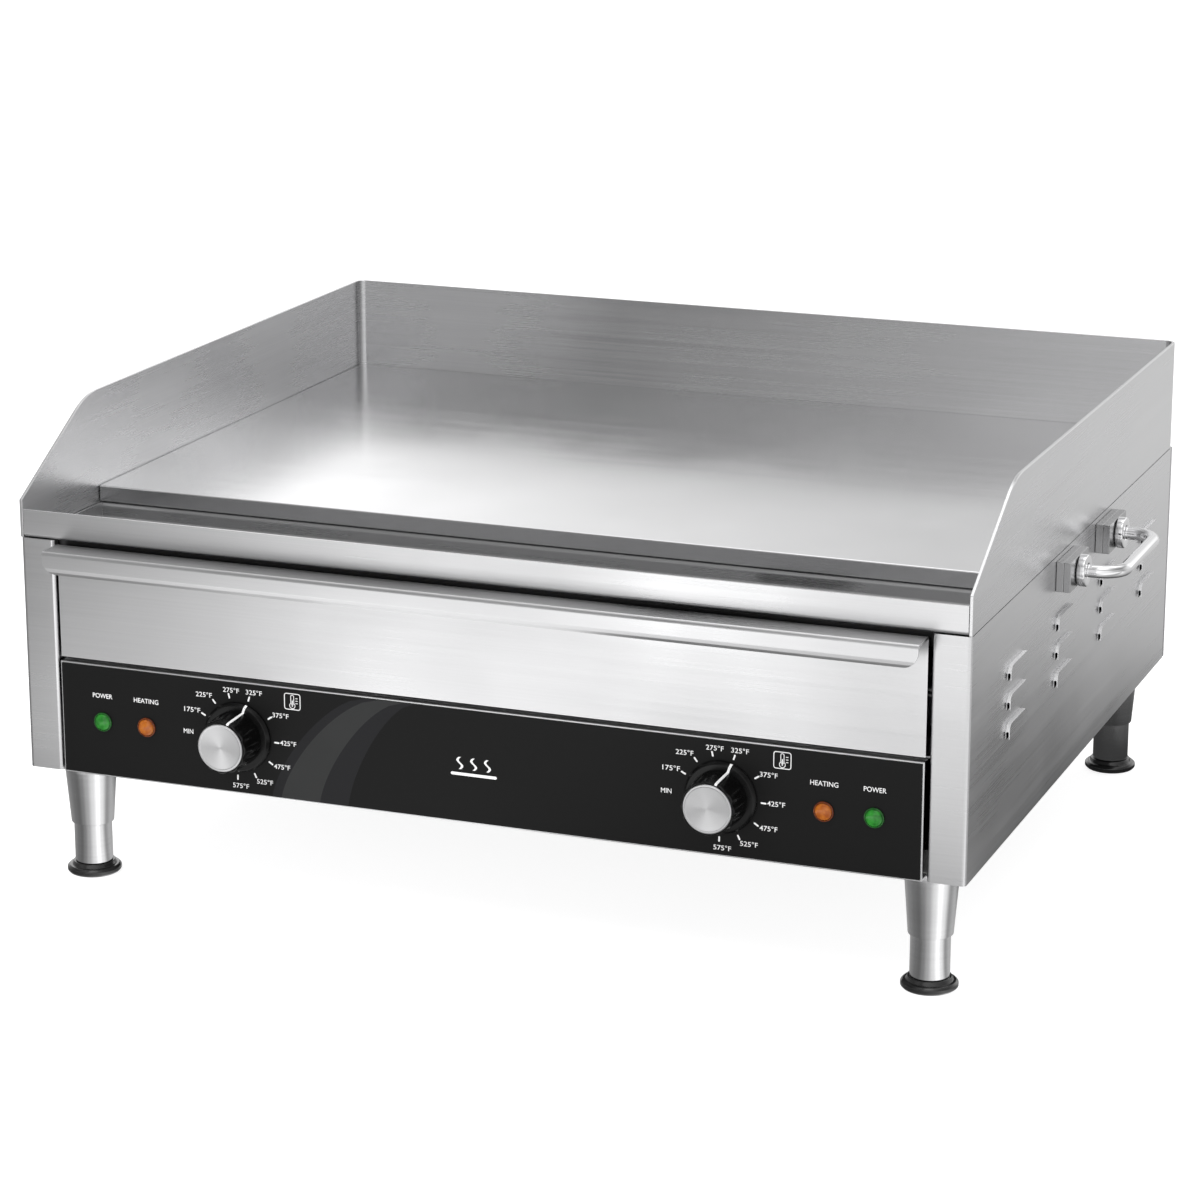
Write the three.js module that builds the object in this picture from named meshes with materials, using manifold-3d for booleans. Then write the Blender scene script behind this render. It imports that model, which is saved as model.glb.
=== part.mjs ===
// Electric countertop griddle: a polished steel cooking plate inside a bent splash guard, a grease trough
// with a drain slot over a pull-out drawer, two thermostat knobs on a control panel, side handles and
// levelling legs.
// Millimetres. X runs to the right, Y from the front to the back, Z up.
// The pieces are drawn from the cabinet's own datum: the middle of its width, its front face and its
// underside. The last lines move that datum so that the origin lies on the worktop, under the middle of
// the whole object.

import * as THREE from "three";
import { mergeVertices } from "three/addons/utils/BufferGeometryUtils.js";
import Module from "manifold-3d";

const wasm = await Module();
wasm.setup();

// ---------------------------------------------------------------- driving dimensions

const gap = 0.3; // clearance between two pieces that meet
const overshoot = 1; // how far a cutter or a joined piece reaches past the face that it meets
const sheet = 1.5; // stainless sheet of the cabinet, the trough and the drawer front
const thinSheet = 1.2; // sheet of the inner shelves and the drawer tray
const guardSheet = 2; // sheet of the splash guard

const width = 610; // over the side walls
const depth = 499; // front face to back face
const cabinetHeight = 149; // underside to the seam below the splash guard

const guardHeight = 73.4; // seam to the top edge of the guard
const guardFrontHeight = 24; // seam to the guard's front corners
const guardSlopeRun = 86; // front face to the point where the sloping edge would meet the top edge
const guardBendRadius = 60;

const plateFront = 97; // front face to the cooking plate
const plateThickness = 10.5;
const plateClearance = 0.5; // seam to the plate's underside
const studRadius = 3;
const studReach = 13.5; // length of the studs under the plate

const lipHeight = 18; // seam to the trough's front lip
const troughDepth = 10; // seam down to the trough's floor
const troughJog = 6; // step from the front band back to the trough's front wall
const troughFlange = 15; // strip of the trough that the plate's front edge lies on

const drainCentreX = 168;
const drainCentreY = 77;
const drainLength = 64;
const drainWidth = 26;
const chuteDrop = 20; // trough floor to the end of the drain chute

const postWidth = 23.5; // front post beside the drawer
const postReturn = 5;
const topFlangeWidth = 23.5;
const rearFlangeWidth = 15;
const flangeSetback = 3; // trough flange to the front end of a side wall's top flange

const louvreRows = 3;
const louvreColumns = 4;
const louvreLength = 39;
const louvreHeight = 9;
const louvreDepth = 2.4;
const louvreWall = 1;
const louvreCorner = 5; // radius of the hood's two upper corners
const louvreCornerSteps = 4;
const louvreFirstY = 79.5; // front end of the first louvre
const louvrePitchY = 110.8;
const louvreFirstZ = 65.3; // lower edge of the lowest louvre
const louvrePitchZ = 18;

const basePanFront = 12;
const basePanFlange = 15;
const basePanBackGap = 4; // base pan to the back face

const panelHeight = 72.4;
const panelBottom = 0.2;
const panelSideGap = 2; // control panel and drawer front to each post
const panelReturn = 10;
const overlayThickness = 0.5;
const overlayInset = 1.1;

const knobX = 157;
const knobZ = 37.2;
const knobSkirtRadius = 22.3;
const knobSkirtThickness = 3.4;
const knobBodyRadius = 17.2;
const knobReach = 26; // panel datum to the front of the knob's body
const knobScallops = 12;
const knobScallopDepth = 1.1;
const knobPointerAngle = 18; // degrees clockwise from straight up, at rest
const pointerWidth = 1.2;
const pointerProud = 0.4; // how far the pointer stands out of the skirt
const pointerStart = 10; // knob's axis to the pointer's inner end
const skirtBevel = 1.6;
const skirtRim = 1; // thickness of the skirt at its edge
const knobWeb = 2; // plastic left between the cap's recess and the shaft
const capRadius = 14.5;
const capThickness = 2.2;
const capRecess = 1.2;
const capBevel = 0.5;

const shaftRadius = 3;
const bushingRadius = 5;
const bushingClearance = 0.5;
const bushingInset = 0.1; // overlay's face to the bushing's end
const thermostatSize = 30;
const thermostatDepth = 30;
const thermostatPlate = 2;
const shaftEngagement = 19; // panel datum to the shaft's inner end
const tabOffset = 8; // thermostat's middle to each terminal tab
const tabWidth = 6;
const tabLength = 7;
const tabThickness = 1;
const tabRise = 6; // wiring to the tab's lower face

const lampZ = 36;
const powerLampX = 250.5;
const heatingLampX = 220;
const lampRadius = 6;
const lampNeck = 4.6;
const lampReach = 5.4; // panel datum to the top of the lens
const lampLength = 24; // panel datum to the lamp's inner end
const lampFlatRadius = 3.6; // flattest part of the lens
const lampEdgeRadius = 5.5;
const lampEdgeHeight = 1.2; // overlay to where the lens turns down
const lampCrown = 0.5;
const lampNutRadius = 7;
const lampNutThickness = 1.5;
const lampHoleClearance = 0.4;

const drawerBottom = 75; // cabinet underside to the drawer front's lower edge
const drawerTopGap = 2; // drawer front to the seam
const pullReach = 20;
const pullDrop = 14.3;
const pullCornerRadius = 10;
const trayHalfWidth = 268;
const trayBottom = 78;
const trayTop = 112;
const trayBack = 360;
const trayRim = 12; // width of the rim that runs in the drawer runners
const trayRimFront = 20;
const runnerOverlap = 8; // width of the rim that a runner holds
const runnerFront = 8;
const runnerBack = 470;
const shelfFront = 6;
const shelfBack = 484;

const elementRadius = 4;
const elementPitch = 70; // distance between two runs of a heating element
const elementFront = 130; // front face to the front bends
const elementRear = 465; // front face to the rear bend
const elementEnd = 478; // front face to the terminals
const zoneCentreX = 150; // middle of each heating zone
const clampY = 300;
const clampWidth = 20;
const clampHalfLength = 125;
const padThickness = 7.5;
const padClearance = 2; // stud ends to the insulation pad
const padHalfWidth = 300;
const shieldFront = 115;
const shieldFlange = 14;
const padInset = 2; // heat shield's ends to the pad's ends

const capillaryRadius = 1.2;
const capillaryOffset = 5; // thermostat's middle to where its capillary leaves it
const capillaryBend = 6;
const capillaryBack = 494.5; // front face to the capillary's rise behind the shelf
const capillaryZ = 47;
const capillaryTurnY = 60; // front face to the capillary's turn behind the thermostat
const bulbRadius = 3;
const bulbFront = 320;
const bulbRear = 420;

const glandX = 130;
const glandZ = 37;
const glandRadius = 11;
const glandNeck = 7.7;
const glandBore = 4.5;
const glandReach = 9; // back face to the gland's mouth
const glandNut = 6;
const terminalLength = 60;
const terminalWidth = 22;
const terminalHeight = 18;
const terminalY = 440;
const terminalWays = 3;
const terminalWayLength = 12;
const terminalWall = 4;

const loomRadius = 3;
const loomZ = 12;
const loomY = 60;
const loomThermostatZ = 30;
const leadRadius = 2;
const leadY = 488;
const leadZ = 137;
const riserOffset = 20; // gland to the lead that rises behind the shelf
const wiringReach = 8; // thermostat to the end of the loom

const handleY = 257.5; // middle of the handle
const handleSpan = 98; // between the handle's two ends
const handleZ = 136.5;
const handleReach = 35; // side wall to the middle of the grip
const handleRadius = 4.1;
const handleBendRadius = 15;
const bracketLength = 43;
const bracketThickness = 8.9;
const bracketHeight = 18.8;
const collarRadius = 10;
const collarThickness = 5.2;

const legX = 277.3;
const legFrontY = 27.4;
const legBackY = 468.2;
const legHeight = 74.8; // worktop to the cabinet's underside
const shellTopRadius = 16.5;
const shellMouthRadius = 13.5;
const shellLength = 41;
const shellCap = 7.5; // solid top of the shell
const insertRadius = 12;
const insertClearance = 0.4; // sliding fit of the leg insert
const legStudRadius = 5;
const legStudHeight = 14;
const legNutRadius = 8;
const legNutHeight = 6;
const footRadius = 17.2;
const footHeight = 7.4;

// ---------------------------------------------------------------- places that follow from them

const halfWidth = width / 2;
const wallInside = halfWidth - sheet; // inner face of a side wall
const fitInside = wallInside - gap; // what fits between the side walls
const seam = cabinetHeight;
const upperBottom = seam + gap; // lower edge of the guard and the front band
const lipTop = seam + lipHeight;
const troughFloor = seam - troughDepth;
const plateBottom = seam + plateClearance;
const plateTop = plateBottom + plateThickness;
const guardTop = seam + guardHeight;
const postInside = halfWidth - postWidth;
const panelHalfWidth = postInside - panelSideGap;
const overlayFace = -sheet - gap - overlayThickness; // front face of the overlay
const drawerTop = seam - drawerTopGap;
const elementZ = plateBottom - gap - elementRadius;
const elementEndRunX = elementPitch * 1.5;
const clampTop = elementZ - elementRadius - gap;
const padTop = plateBottom - studReach - padClearance;
const shieldTop = padTop - padThickness - gap;
const runnerFloor = trayTop - thinSheet - gap;
const capFront = -knobReach - capThickness + capRecess - gap;
const shelfTop = panelBottom + panelHeight + gap + thinSheet;

// ---------------------------------------------------------------- finishes

function finish(colour, roughness, metalness) {
  return () => new THREE.MeshStandardMaterial({ color: colour, roughness, metalness });
}

const brushedSteel = finish(0xc4c6c8, 0.35, 1);
const polishedSteel = finish(0xd2d4d6, 0.18, 1);
const galvanised = finish(0xa9adb0, 0.5, 1);
const chrome = finish(0xe6e8ea, 0.06, 1);
const spunAluminium = finish(0xd9dadb, 0.28, 1);
const blackPlastic = finish(0x141414, 0.4, 0);
const blackRubber = finish(0x101010, 0.25, 0);
const blackOverlay = finish(0x262626, 0.45, 0);
const greenLens = finish(0x1e9632, 0.15, 0);
const amberLens = finish(0xd2690f, 0.15, 0);
const ceramicFibre = finish(0xe8e2d2, 0.95, 0);
const elementSheath = finish(0x5b5a56, 0.55, 1);
const copper = finish(0xb87348, 0.35, 1);
const phenolic = finish(0x2a211c, 0.6, 0);
const cableSleeve = finish(0xd8cfb8, 0.9, 0);

// ---------------------------------------------------------------- shape helpers

const group = new THREE.Group();
const cabinetDatum = new THREE.Group();
group.add(cabinetDatum);

// A closed geometry as a solid that can be joined and cut.
function solid(geometry) {
  const bare = geometry.clone();
  bare.deleteAttribute("normal");
  bare.deleteAttribute("uv");
  const merged = mergeVertices(bare);
  return new wasm.Manifold(
    new wasm.Mesh({
      numProp: 3,
      vertProperties: merged.attributes.position.array,
      triVerts: new Uint32Array(merged.index.array),
    }),
  );
}

function geometryOf(body) {
  const mesh = body.getMesh();
  const geometry = new THREE.BufferGeometry();
  geometry.setAttribute("position", new THREE.BufferAttribute(new Float32Array(mesh.vertProperties), 3));
  geometry.setIndex(new THREE.BufferAttribute(new Uint32Array(mesh.triVerts), 1));
  geometry.computeVertexNormals();
  return geometry;
}

function join(first, ...rest) {
  return rest.reduce((body, geometry) => body.add(solid(geometry)), solid(first));
}

function cut(body, ...cutters) {
  return cutters.reduce((left, geometry) => left.subtract(solid(geometry)), body);
}

function place(name, shape, material, mirrored = false) {
  const geometry = shape.isBufferGeometry ? shape : geometryOf(shape);
  const mesh = new THREE.Mesh(geometry, material());
  mesh.name = name;
  mesh.scale.x = mirrored ? -1 : 1;
  cabinetDatum.add(mesh);
}

function box([x0, x1], [y0, y1], [z0, z1]) {
  const geometry = new THREE.BoxGeometry(x1 - x0, y1 - y0, z1 - z0);
  return geometry.translate((x0 + x1) / 2, (y0 + y1) / 2, (z0 + z1) / 2);
}

function outlineOf(points) {
  return new THREE.Shape(points.map(([a, b]) => new THREE.Vector2(a, b)));
}

function extrude(shape, length) {
  return new THREE.ExtrudeGeometry(shape, { depth: length, bevelEnabled: false, curveSegments: 6 });
}

// A (y, z) outline drawn out along X.
function prismX(shape, x0, x1) {
  const turn = new THREE.Matrix4().makeBasis(
    new THREE.Vector3(0, 1, 0),
    new THREE.Vector3(0, 0, 1),
    new THREE.Vector3(1, 0, 0),
  );
  return extrude(shape, x1 - x0).applyMatrix4(turn).translate(x0, 0, 0);
}

// An (x, z) outline drawn out along Y.
function prismY(shape, y0, y1) {
  const turn = new THREE.Matrix4().makeBasis(
    new THREE.Vector3(1, 0, 0),
    new THREE.Vector3(0, 0, 1),
    new THREE.Vector3(0, -1, 0),
  );
  return extrude(shape, y1 - y0).applyMatrix4(turn).translate(0, y1, 0);
}

// An (x, y) outline drawn out along Z.
function prismZ(shape, z0, z1) {
  return extrude(shape, z1 - z0).translate(0, 0, z0);
}

// The outline of a sheet that follows a line of points, with its thickness on the right of the line.
function bentSheet(points, thickness) {
  const line = points.map(([a, b]) => new THREE.Vector2(a, b));
  const rightOf = (from, to) => {
    const along = to.clone().sub(from).normalize();
    return new THREE.Vector2(along.y, -along.x);
  };
  const offset = line.map((point, i) => {
    const before = i > 0 ? rightOf(line[i - 1], point) : null;
    const after = i < line.length - 1 ? rightOf(point, line[i + 1]) : null;
    const one = before ?? after;
    const other = after ?? before;
    const mitre = one.clone().add(other).divideScalar(1 + one.dot(other));
    return point.clone().addScaledVector(mitre, thickness);
  });
  return new THREE.Shape([...line, ...offset.reverse()]);
}

// A turned piece whose (radius, height) profile runs from its lower end to its upper end, axis along Z.
function turnedZ(profile, sides, x, y) {
  const points = profile.map(([r, h]) => new THREE.Vector2(r, h));
  return new THREE.LatheGeometry(points, sides).rotateX(Math.PI / 2).translate(x, y, 0);
}

// A turned piece whose (radius, y) profile runs from its front end to its back end, axis along Y.
function turnedY(profile, sides, x, z) {
  const points = profile.map(([r, y]) => new THREE.Vector2(r, y));
  return new THREE.LatheGeometry(points, sides).translate(x, 0, z);
}

function rod(radius, y0, y1, sides, x, z) {
  return turnedY([[0, y0], [radius, y0], [radius, y1], [0, y1]], sides, x, z);
}

function oblong(centreX, centreY, length, breadth) {
  const r = breadth / 2;
  const half = length / 2 - r;
  const shape = new THREE.Shape();
  shape.absarc(centreX + half, centreY, r, -Math.PI / 2, Math.PI / 2);
  shape.absarc(centreX - half, centreY, r, Math.PI / 2, (3 * Math.PI) / 2);
  return shape;
}

// A path of straight runs and round bends that gives a swept section one station at each end of a run.
class BentPath extends THREE.Curve {
  constructor(corners, bendRadius, stepsPerBend) {
    super();
    const points = corners.map((corner) => new THREE.Vector3(...corner));
    this.stations = [];
    this.tangents = [];
    points.forEach((point, i) => {
      this.addCorner(points[i - 1], point, points[i + 1], bendRadius, stepsPerBend);
    });
  }

  addStation(point, tangent) {
    const last = this.stations.at(-1);
    if (last && last.distanceTo(point) < 1e-4) return;
    this.stations.push(point);
    this.tangents.push(tangent);
  }

  addCorner(before, point, after, bendRadius, stepsPerBend) {
    const arriving = before ? point.clone().sub(before).normalize() : after.clone().sub(point).normalize();
    const leaving = after ? after.clone().sub(point).normalize() : arriving;
    const turn = arriving.angleTo(leaving);
    if (turn < 1e-6) {
      this.addStation(point, arriving);
      return;
    }
    const inward = leaving.clone().addScaledVector(arriving, -arriving.dot(leaving)).normalize();
    const start = point.clone().addScaledVector(arriving, -bendRadius * Math.tan(turn / 2));
    for (let step = 0; step <= stepsPerBend; step += 1) {
      const angle = (turn * step) / stepsPerBend;
      const station = start.clone().addScaledVector(arriving, bendRadius * Math.sin(angle));
      station.addScaledVector(inward, bendRadius * (1 - Math.cos(angle)));
      const tangent = arriving.clone().multiplyScalar(Math.cos(angle));
      this.addStation(station, tangent.addScaledVector(inward, Math.sin(angle)));
    }
  }

  getSpacedPoints() {
    return this.stations;
  }

  getTangentAt(u) {
    return this.tangents[Math.round(u * (this.stations.length - 1))].clone();
  }
}

function bentRod(corners, { bendRadius, radius, sides = 8, stepsPerBend = 4 }) {
  const section = new THREE.Shape();
  section.absarc(0, 0, radius, 0, 2 * Math.PI);
  const points = section.getSpacedPoints(sides).slice(0, sides);
  const path = new BentPath(corners, bendRadius, stepsPerBend);
  return new THREE.ExtrudeGeometry(new THREE.Shape(points), {
    steps: path.stations.length - 1,
    extrudePath: path,
  });
}

// ---------------------------------------------------------------- upper assembly

function guardOutline() {
  const slope = Math.atan2(guardHeight - guardFrontHeight, guardSlopeRun);
  const bendEnd = guardSlopeRun + guardBendRadius * Math.tan(slope / 2);
  const shape = new THREE.Shape();
  shape.moveTo(0, upperBottom);
  shape.lineTo(depth, upperBottom);
  shape.lineTo(depth, guardTop);
  shape.lineTo(bendEnd, guardTop);
  shape.absarc(bendEnd, guardTop - guardBendRadius, guardBendRadius, Math.PI / 2, Math.PI / 2 + slope);
  shape.lineTo(0, seam + guardFrontHeight);
  return shape;
}

function buildSplashGuard() {
  const guard = join(
    prismX(guardOutline(), halfWidth - guardSheet, halfWidth),
    prismX(guardOutline(), -halfWidth, -halfWidth + guardSheet),
    box([-halfWidth, halfWidth], [depth - guardSheet, depth], [upperBottom, guardTop]),
  );
  place("splash_guard", guard, brushedSteel);
}

function buildGriddlePlate() {
  const halfPlate = halfWidth - guardSheet - gap;
  const slab = box([-halfPlate, halfPlate], [plateFront, depth - guardSheet - gap], [plateBottom, plateTop]);
  const studs = [-1, 1].flatMap((side) =>
    [-1, 1].map((end) => {
      const x = side * zoneCentreX + end * elementPitch;
      const bottom = plateBottom - studReach;
      const top = plateTop - overshoot;
      const profile = [[0, bottom], [studRadius, bottom], [studRadius, top], [0, top]];
      return turnedZ(profile, 10, x, clampY);
    }),
  );
  place("griddle_plate", join(slab, ...studs), polishedSteel);
}

function buildGreaseTrough() {
  const halfTrough = halfWidth - guardSheet - gap;
  const wallY = troughJog + sheet;
  const line = [
    [sheet, lipTop],
    [sheet, upperBottom + sheet],
    [wallY, upperBottom + sheet],
    [wallY, troughFloor],
    [plateFront, troughFloor],
    [plateFront, plateBottom - gap],
    [plateFront + troughFlange, plateBottom - gap],
  ];
  const underside = troughFloor - sheet;
  const endPlate = (x0, x1) => box([x0, x1], [troughJog, plateFront + sheet], [underside, seam]);
  const chuteLength = drainLength + 2 * sheet;
  const chuteWidth = drainWidth + 2 * sheet;
  const chuteEnd = troughFloor - chuteDrop;
  const chute = prismZ(oblong(drainCentreX, drainCentreY, chuteLength, chuteWidth), chuteEnd, troughFloor);
  const trough = join(
    prismX(bentSheet(line, sheet), -halfTrough, halfTrough),
    endPlate(-halfTrough, -halfTrough + sheet),
    endPlate(halfTrough - sheet, halfTrough),
    chute,
  );
  const drain = prismZ(
    oblong(drainCentreX, drainCentreY, drainLength, drainWidth),
    chuteEnd - overshoot,
    troughFloor + overshoot,
  );
  place("grease_trough", cut(trough, drain), brushedSteel);
}

// ---------------------------------------------------------------- cabinet

// The (y, z) outline of a louvre's hood, seen from the side and open below. A wall shrinks it for its inside.
function louvreOutline(front, bottom, wall) {
  const near = front + wall;
  const far = front + louvreLength - wall;
  const top = bottom + louvreHeight - wall;
  const corner = louvreCorner - wall;
  const shape = new THREE.Shape();
  shape.moveTo(near, bottom - wall);
  shape.lineTo(far, bottom - wall);
  shape.absarc(far - corner, top - corner, corner, 0, Math.PI / 2);
  shape.absarc(near + corner, top - corner, corner, Math.PI / 2, Math.PI);
  return new THREE.Shape(shape.getPoints(louvreCornerSteps / 2));
}

function withLouvres(wall) {
  let body = wall;
  for (let column = 0; column < louvreColumns; column += 1) {
    const front = louvreFirstY + column * louvrePitchY;
    for (let row = 0; row < louvreRows; row += 1) {
      const bottom = louvreFirstZ + row * louvrePitchZ;
      const outside = halfWidth + louvreDepth;
      const hood = prismX(louvreOutline(front, bottom, 0), halfWidth - sheet / 2, outside);
      const hollow = prismX(louvreOutline(front, bottom, louvreWall), wallInside - overshoot, outside - louvreWall);
      body = body.add(solid(hood)).subtract(solid(hollow));
    }
  }
  return body;
}

function buildSidePanels() {
  const back = depth - sheet - gap;
  const flangeFront = plateFront + troughFlange + flangeSetback;
  const panel = join(
    box([wallInside, halfWidth], [0, back], [0, seam]),
    box([postInside, halfWidth], [0, sheet], [0, seam]),
    box([postInside, postInside + sheet], [0, postReturn], [0, seam]),
    box([halfWidth - topFlangeWidth, halfWidth], [flangeFront, back], [seam - sheet, seam]),
    box([halfWidth - rearFlangeWidth, halfWidth], [back - sheet, back], [0, seam]),
  );
  const finished = withLouvres(panel);
  place("side_panel_right", finished, brushedSteel);
  place("side_panel_left", finished, brushedSteel, true);
}

function buildBackPanel() {
  const panel = solid(box([-halfWidth, halfWidth], [depth - sheet, depth], [0, seam]));
  const hole = rod(glandNeck + gap, depth - sheet - overshoot, depth + overshoot, 20, glandX, glandZ);
  place("back_panel", cut(panel, hole), brushedSteel);
}

function buildBasePan() {
  const back = depth - basePanBackGap;
  const outside = box([-fitInside, fitInside], [basePanFront, back], [0, basePanFlange]);
  const inside = box(
    [-fitInside + sheet, fitInside - sheet],
    [basePanFront + sheet, back - sheet],
    [sheet, basePanFlange + overshoot],
  );
  const holes = [-1, 1].flatMap((side) =>
    [legFrontY, legBackY].map((y) => {
      const r = legStudRadius + gap;
      const top = sheet + overshoot;
      return turnedZ([[0, -overshoot], [r, -overshoot], [r, top], [0, top]], 16, side * legX, y);
    }),
  );
  place("base_pan", cut(solid(outside), inside, ...holes), galvanised);
}

function buildDrawerShelf() {
  const shelf = box([-fitInside, fitInside], [shelfFront, shelfBack], [shelfTop - thinSheet, shelfTop]);
  place("drawer_shelf", shelf, galvanised);
}

function buildDrawerRunners() {
  const inner = trayHalfWidth + trayRim - runnerOverlap;
  const web = fitInside - sheet;
  const line = [
    [inner, runnerFloor],
    [web, runnerFloor],
    [web, trayTop + gap],
    [inner, trayTop + gap],
  ];
  const runner = prismY(bentSheet(line, sheet), runnerFront, runnerBack);
  place("drawer_runner_right", runner, galvanised);
  place("drawer_runner_left", runner, galvanised, true);
}

// ---------------------------------------------------------------- grease drawer

// The piece outside a rounded lower corner of the drawer pull.
function pullCorner(side) {
  const x = side * panelHalfWidth;
  const bottom = drawerTop - pullDrop;
  const centreX = x - side * pullCornerRadius;
  const shape = new THREE.Shape();
  shape.moveTo(x + side * overshoot, bottom - overshoot);
  shape.lineTo(x + side * overshoot, bottom + pullCornerRadius);
  shape.lineTo(x, bottom + pullCornerRadius);
  const start = side > 0 ? 0 : Math.PI;
  shape.absarc(centreX, bottom + pullCornerRadius, pullCornerRadius, start, -Math.PI / 2, side > 0);
  shape.lineTo(centreX, bottom - overshoot);
  return prismY(shape, -pullReach - overshoot, -pullReach + sheet + overshoot);
}

function buildDrawerFront() {
  const line = [
    [-pullReach, drawerTop - pullDrop],
    [-pullReach, drawerTop],
    [sheet, drawerTop],
    [sheet, drawerBottom],
  ];
  const front = solid(prismX(bentSheet(line, sheet), -panelHalfWidth, panelHalfWidth));
  place("drawer_front", cut(front, pullCorner(-1), pullCorner(1)), brushedSteel);
}

function buildDrawerTray() {
  const front = sheet + gap;
  const inside = trayHalfWidth - thinSheet;
  const rim = (x0, x1) => box([x0, x1], [trayRimFront, trayBack], [trayTop - thinSheet, trayTop]);
  const tray = join(
    box([-trayHalfWidth, trayHalfWidth], [front, trayBack], [trayBottom, trayTop]),
    rim(-trayHalfWidth - trayRim, -trayHalfWidth + overshoot),
    rim(trayHalfWidth - overshoot, trayHalfWidth + trayRim),
  );
  const hollow = box(
    [-inside, inside],
    [front + thinSheet, trayBack - thinSheet],
    [trayBottom + thinSheet, trayTop + overshoot],
  );
  place("drawer_tray", cut(tray, hollow), brushedSteel);
}

// ---------------------------------------------------------------- controls

function panelHoles(y0, y1) {
  const knobHoles = [-knobX, knobX].map((x) => rod(bushingRadius + bushingClearance, y0, y1, 16, x, knobZ));
  const lampXs = [-powerLampX, -heatingLampX, heatingLampX, powerLampX];
  const lampHoles = lampXs.map((x) => rod(lampNeck + lampHoleClearance, y0, y1, 16, x, lampZ));
  return [...knobHoles, ...lampHoles];
}

function buildControlPanel() {
  const top = panelBottom + panelHeight;
  const line = [
    [panelReturn, panelBottom + sheet],
    [0, panelBottom + sheet],
    [0, top - sheet],
    [panelReturn, top - sheet],
  ];
  const panel = solid(prismX(bentSheet(line.reverse(), sheet), -panelHalfWidth, panelHalfWidth));
  place("control_panel", cut(panel, ...panelHoles(-sheet - overshoot, overshoot)), brushedSteel);
}

function buildPanelOverlay() {
  const half = panelHalfWidth - overlayInset;
  const bottom = panelBottom + overlayInset;
  const top = panelBottom + panelHeight - overlayInset;
  const overlay = solid(box([-half, half], [overlayFace, overlayFace + overlayThickness], [bottom, top]));
  const holes = panelHoles(overlayFace - overshoot, overlayFace + overlayThickness + overshoot);
  place("panel_overlay", cut(overlay, ...holes), blackOverlay);
}

function knobBody(x) {
  const points = [];
  const stepsPerScallop = 4;
  for (let i = 0; i < knobScallops * stepsPerScallop; i += 1) {
    const angle = (2 * Math.PI * i) / (knobScallops * stepsPerScallop);
    const wave = (1 - Math.cos(knobScallops * angle)) / 2;
    const r = knobBodyRadius - knobScallopDepth * wave;
    points.push([x + r * Math.sin(angle), knobZ + r * Math.cos(angle)]);
  }
  return prismY(outlineOf(points), -knobReach, overlayFace - gap - overshoot);
}

function knobPointer(x) {
  const angle = THREE.MathUtils.degToRad(knobPointerAngle);
  const back = overlayFace - gap;
  const ridge = box(
    [-pointerWidth / 2, pointerWidth / 2],
    [back - knobSkirtThickness - pointerProud, back - overshoot],
    [pointerStart, knobSkirtRadius],
  );
  return ridge.rotateY(angle).translate(x, 0, knobZ);
}

function buildKnob(side, x) {
  const back = overlayFace - gap;
  const skirtFront = back - knobSkirtThickness;
  const skirtProfile = [
    [0, skirtFront],
    [knobSkirtRadius - skirtBevel, skirtFront],
    [knobSkirtRadius, back - skirtRim],
    [knobSkirtRadius, back],
    [0, back],
  ];
  const knob = join(turnedY(skirtProfile, 32, x, knobZ), knobBody(x), knobPointer(x));
  const recess = rod(capRadius + gap, -knobReach - overshoot, -knobReach + capRecess, 32, x, knobZ);
  const bore = rod(shaftRadius + gap, -knobReach + capRecess + knobWeb, overshoot, 12, x, knobZ);
  place(`knob_${side}`, cut(knob, recess, bore), blackPlastic);
  const capBack = -knobReach + capRecess - gap;
  const capProfile = [
    [0, capFront],
    [capRadius - capBevel, capFront],
    [capRadius, capFront + capBevel],
    [capRadius, capBack],
    [0, capBack],
  ];
  const cap = turnedY(capProfile, 32, x, knobZ);
  place(`knob_cap_${side}`, cap, spunAluminium);
}

function buildThermostat(side, x) {
  const half = thermostatSize / 2;
  const across = [x - half, x + half];
  const upright = [knobZ - half, knobZ + half];
  const bodyBack = gap + thermostatPlate + thermostatDepth;
  const tabBottom = loomThermostatZ + tabRise;
  const tab = (middle) =>
    box(
      [middle - tabWidth / 2, middle + tabWidth / 2],
      [bodyBack - overshoot, bodyBack + tabLength],
      [tabBottom, tabBottom + tabThickness],
    );
  const body = join(
    box(across, [gap, bodyBack], upright),
    rod(bushingRadius, overlayFace + bushingInset, gap + overshoot, 16, x, knobZ),
    tab(x - tabOffset),
    tab(x + tabOffset),
  );
  const bore = rod(shaftRadius + gap, overlayFace - overshoot, shaftEngagement + gap, 12, x, knobZ);
  place(`thermostat_${side}`, cut(body, bore), phenolic);
  const shaftFront = -knobReach + capRecess + knobWeb + gap;
  place(`thermostat_shaft_${side}`, rod(shaftRadius, shaftFront, shaftEngagement, 12, x, knobZ), galvanised);
}

function buildTemperatureSensor(side, x, sensorX) {
  const start = gap + thermostatPlate + thermostatDepth + gap;
  const exitX = x + Math.sign(sensorX - x) * capillaryOffset;
  const corners = [
    [exitX, start, capillaryZ],
    [exitX, capillaryTurnY, capillaryZ],
    [sensorX, capillaryTurnY, capillaryZ],
    [sensorX, capillaryBack, capillaryZ],
    [sensorX, capillaryBack, elementZ],
    [sensorX, bulbRear - overshoot, elementZ],
  ];
  const size = { bendRadius: capillaryBend, radius: capillaryRadius, sides: 6, stepsPerBend: 3 };
  const tube = bentRod(corners, size);
  const bulb = rod(bulbRadius, bulbFront, bulbRear, 10, sensorX, elementZ);
  place(`temperature_sensor_${side}`, join(tube, bulb), copper);
}

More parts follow.
